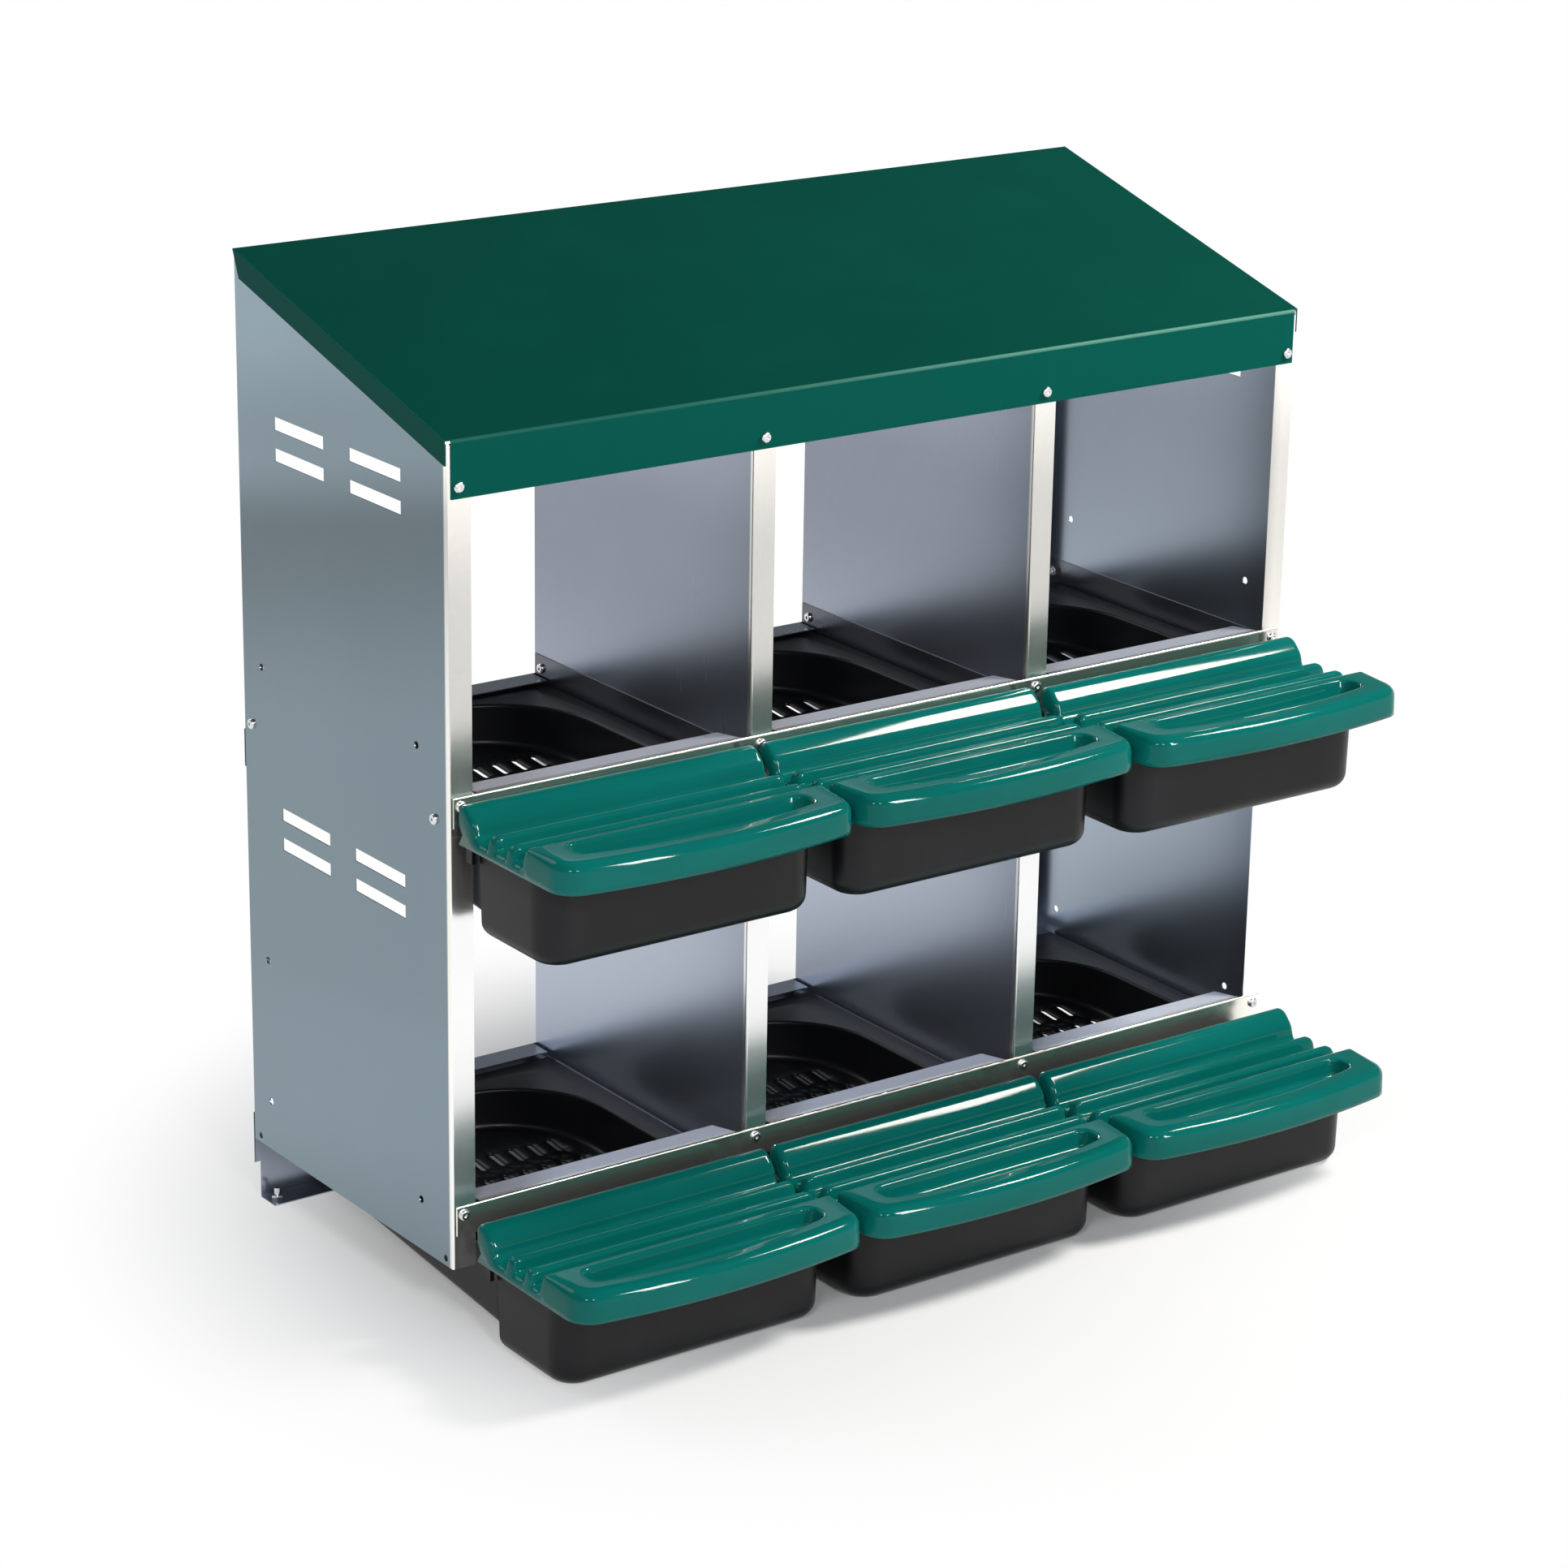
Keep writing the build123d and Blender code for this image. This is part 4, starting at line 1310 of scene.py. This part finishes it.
    def add_box(self, shell: Surface) -> None:
        """Adds the egg box: its flange, its wall and its floor.

        Each loop is the plan moved along its normals by the section. The floor closes on a line
        along the middle. The back wall is left open between the throat walls, down to the nest floor.

        Args:
            shell: The tray's surface.
        """
        plan, facing = self.box_plan()
        step = float(self.floor(np.array(self.mouth)))
        out, height = self.box_section(step)
        reach = np.where(facing[:, 1] < -0.5, self.flange_back - self.mouth, self.flange)
        rim = plan + facing * plan_line(self.flange, reach)
        loops = np.concatenate([rim[None], plan + facing * out[..., None]])
        walls = raised(loops, np.concatenate([[[0.0]], height]))
        back = self.mouth_points + 2
        front_x, front_v = self.box_half - self.box_corner, -self.box_front - self.box_corner
        middle_x = np.clip(plan[:, 0], -front_x, front_x)
        middle_x[:back] = np.linspace(-front_x, front_x, back)
        middle = plan_line(middle_x, (front_v - self.mouth) / 2)
        points = np.concatenate([walls, raised(halved(loops[-1], middle), self.box_floor)])
        keep = np.ones((points.shape[0] - 1, points.shape[1]), dtype=bool)
        level = (points[:-1, 0, 2] + points[1:, 0, 2]) / 2
        keep[np.ix_(level > step, np.arange(1, back - 2))] = False
        shell.grid(points, keep, loop=True)

    def ears(self, origin: np.ndarray) -> bpy.types.Object:
        """Makes the two hinge ears, each a plate with a round head bored for a peg.

        Seen from the side, the outline lies at the larger of the head's radius and the reach of
        the plate, in each direction from the bore. Its rings and the bore's close on each other.

        Args:
            origin: Place of the tray.

        Returns:
            The ears.
        """
        length = self.ear_axis[1] + self.ear_drop
        toe = math.atan2(-length, self.ear_half)
        even = np.linspace(-math.pi, math.pi, self.ear_points + 1)[:-1]
        turn = np.unique(np.concatenate([even, [toe, -math.pi - toe]]))
        cosine, sine = np.cos(turn), np.sin(turn)
        least = 1e-6
        sideways = self.ear_half / np.maximum(np.abs(cosine), least)
        downward = length / np.maximum(-sine, least)
        plate = np.where(sine < 0, np.minimum(sideways, downward), 0.0)
        outline = np.maximum(self.ear_head, plate)
        bore = np.full_like(outline, self.ear_bore)
        radius = np.stack([outline, outline, bore, bore])
        faces = np.array([*self.ear_faces, *self.ear_faces[::-1]])
        ring = np.stack([
            np.broadcast_to(faces[:, None], radius.shape),
            self.ear_axis[0] + radius * cosine,
            self.ear_axis[1] + radius * sine,
        ], axis=-1)
        pair = Surface()
        pair.grid(ring, loop=True, tube=True)
        pair.grid(ring * MIRROR, loop=True, tube=True)
        return pair.piece(f"tray_ears_{self.key}", origin, self.finish)

    def build(self) -> None:
        """Makes the tray's bowl, egg box and ears and hangs them on the tray's body."""
        origin = self.origin()
        bowl = Surface()
        self.add_bowl(bowl)
        box = Surface()
        self.add_box(box)
        nest = bowl.piece(f"tray_bowl_{self.key}", origin, self.finish, self.wall)
        well = box.piece(f"tray_egg_box_{self.key}", origin, self.finish, self.wall)
        for piece in (nest, well, self.ears(origin)):
            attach(piece, f"tray_{self.key}")
        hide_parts(f"nest_tray_{self.key}")
        LOG.info("tray %s: %d faces", self.key, len(nest.data.polygons) + len(well.data.polygons))


@dataclass
class Cabinet:
    """The folded sheets, rails, runners and fasteners, which keep their CAD shapes."""

    sheet: Finish
    sill: Finish
    runner: Finish
    paint: Finish
    plate: Finish

    def finish_of(self, node: str) -> Optional[Finish]:
        """The finish of a CAD node by its name.

        Args:
            node: Name of the node.

        Returns:
            The finish, or None for a node that a modelled piece stands for.
        """
        if node.startswith(("egg_lid", "nest_tray")):
            return None
        if node == "roof":
            return self.paint
        if node.endswith(("screws", "nuts", "bolts")):
            return self.plate
        if node.startswith("runner"):
            return self.runner
        return self.sill if node.startswith("front_rail") else self.sheet

    def dress(self) -> None:
        """Gives each CAD node its finish."""
        for name, node in sorted(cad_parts.items()):
            finish = self.finish_of(name)
            if finish is not None:
                finish.wear(node)
                LOG.info("node %s wears %s", name, finish.name)


@dataclass(frozen=True)
class Softbox:
    """A soft rectangular lamp that faces a point. A card is seen in reflections and lights nothing."""

    name: str
    place: Point
    aim: Point
    size: Tuple[float, float]
    power: float
    colour: Colour = (1.0, 1.0, 1.0)
    card: bool = False

    def build(self) -> None:
        """Makes the lamp."""
        lamp = bpy.data.lights.new(self.name, "AREA")
        lamp.shape = "RECTANGLE"
        lamp.size, lamp.size_y = self.size
        lamp.energy = self.power
        lamp.color = self.colour
        made = bpy.data.objects.new(self.name, lamp)
        facing = Vector(self.place) - Vector(self.aim)
        turn = facing.to_track_quat("Z", "Y").to_matrix().to_4x4()
        made.matrix_world = Matrix.Translation(self.place) @ turn
        made.visible_diffuse = not self.card
        bpy.context.scene.collection.objects.link(made)


@dataclass
class Studio:
    """Pale floor, soft lamps, an even surround and the camera."""

    floor_reach: float = 7.0
    cove: float = 1.5
    wall_height: float = 1.7
    floor_rings: Tuple[float, ...] = (0.0, 1.0, 3.0)
    cove_points: int = 9
    floor_points: int = 64
    surround: Colour = (0.135, 0.142, 0.155)
    azimuth: float = math.radians(-36.117)
    elevation: float = math.radians(18.686)
    roll: float = math.radians(0.959)
    focal_pixels: float = 5458.156
    photo_pixels: float = 1932.0
    eye: Point = (-2.307096, -3.073796, 1.699849)
    sensor: float = 36.0
    clip_end: float = 100.0
    lamps: Tuple[Softbox, ...] = field(default_factory=lambda: (
        Softbox("key_softbox", (1.67, -0.97, 2.3), (0.1, -0.2, 0.3), (0.55, 0.55), 72.0, (1.0, 0.97, 0.92)),
        Softbox("left_softbox", (-2.75, -2.45, 2.35), (0.0, 0.0, 0.4), (0.6, 0.6), 37.0),
        Softbox("front_softbox", (-1.25, -3.5, 2.35), (0.0, 0.0, 0.4), (0.6, 0.6), 42.0),
        Softbox("strip_card", (1.2, -3.8, 2.0), (0.0, -0.3, 0.3), (0.5, 1.5), 190.0, card=True),
        Softbox("rear_softbox", (-1.4, 2.6, 2.4), (0.0, 0.0, 0.4), (1.6, 1.6), 20.0),
    ))

    def add_floor(self) -> None:
        """Makes the floor and its low backdrop: a profile turned round the upright axis.

        The profile runs out along the floor, turns up through a quarter circle and ends in a wall.
        """
        turn = headings(quarter(self.cove_points))
        cove = (self.floor_reach, 0.0) + self.cove * np.stack([turn[:, 1], 1 - turn[:, 0]], axis=1)
        wall = (self.floor_reach + self.cove, self.wall_height)
        profile = np.concatenate([plan_line(self.floor_rings, 0.0), cove, [wall]]) / MM
        ring = headings(circle(self.floor_points))
        sheet = Surface()
        sheet.grid(raised(profile[:, None, :1] * ring, profile[:, 1:]), loop=True)
        floor = sheet.piece("floor", np.zeros(3), PaleFloor("pale_floor"))

    def add_world(self) -> None:
        """Makes the even surround."""
        world = bpy.data.worlds.new("surround")
        world.use_nodes = True
        graph = Graph(world.node_tree)
        sky = graph.node("ShaderNodeBackground", {}, {"Color": rgba(self.surround), "Strength": 1.0})
        graph.surface(sky, "ShaderNodeOutputWorld")
        bpy.context.scene.world = world

    def add_camera(self) -> None:
        """Makes the camera at the photograph's angle, with no shift and no depth of field."""
        back = Vector((
            math.sin(self.azimuth) * math.cos(self.elevation),
            -math.cos(self.azimuth) * math.cos(self.elevation),
            math.sin(self.elevation),
        ))
        level = Vector((math.cos(self.azimuth), math.sin(self.azimuth), 0.0))
        above = back.cross(level)
        right = level * math.cos(self.roll) + above * math.sin(self.roll)
        up = above * math.cos(self.roll) - level * math.sin(self.roll)
        lens = bpy.data.cameras.new("camera")
        lens.sensor_width = self.sensor
        lens.lens = self.focal_pixels / self.photo_pixels * self.sensor
        lens.clip_end = self.clip_end
        made = bpy.data.objects.new("camera", lens)
        turn = Matrix((right, up, back)).transposed().to_4x4()
        made.matrix_world = Matrix.Translation(self.eye) @ turn
        bpy.context.scene.collection.objects.link(made)
        bpy.context.scene.camera = made

    def build(self) -> None:
        """Makes the floor, the surround, the lamps and the camera."""
        self.add_floor()
        self.add_world()
        self.add_camera()
        for lamp in self.lamps:
            lamp.build()
        bpy.context.scene.view_settings.view_transform = "Standard"
        LOG.info("studio: %d lamps", len(self.lamps))


def main() -> None:
    """Builds the trays, the lids and the studio, and dresses the cabinet."""
    logging.basicConfig(level=logging.INFO, format="%(name)s: %(message)s")
    sheet = GalvanisedSheet("spangled_sheet")
    # Painted light: on the sill the lip is a lighter lavender-grey and the front face a darker tone, for
    # the light and shade they reflect.
    sill = GalvanisedSheet(
        "sill_sheet", inside=(0.58, 0.60, 0.67), flange=(0.74, 0.73, 0.66), inner_metallic=0.45
    )
    # Painted shade: the runners are the same sheet with a much darker inside tone, for the shade under the
    # tray rims.
    runner = GalvanisedSheet("runner_sheet", inside=(0.15, 0.16, 0.18))
    Cabinet(sheet, sill, runner, RoofPaint("powder_paint"), ZincPlate("zinc_plate")).dress()
    black = TrayPlastic("satin_black")
    green = LidPlastic("glossy_green")
    for tier in Tier:
        for bay in Bay:
            NestTray(tier, bay, black).build()
            EggLid(tier, bay, green).build()
    Studio().build()


if __name__ == "__main__":
    main()
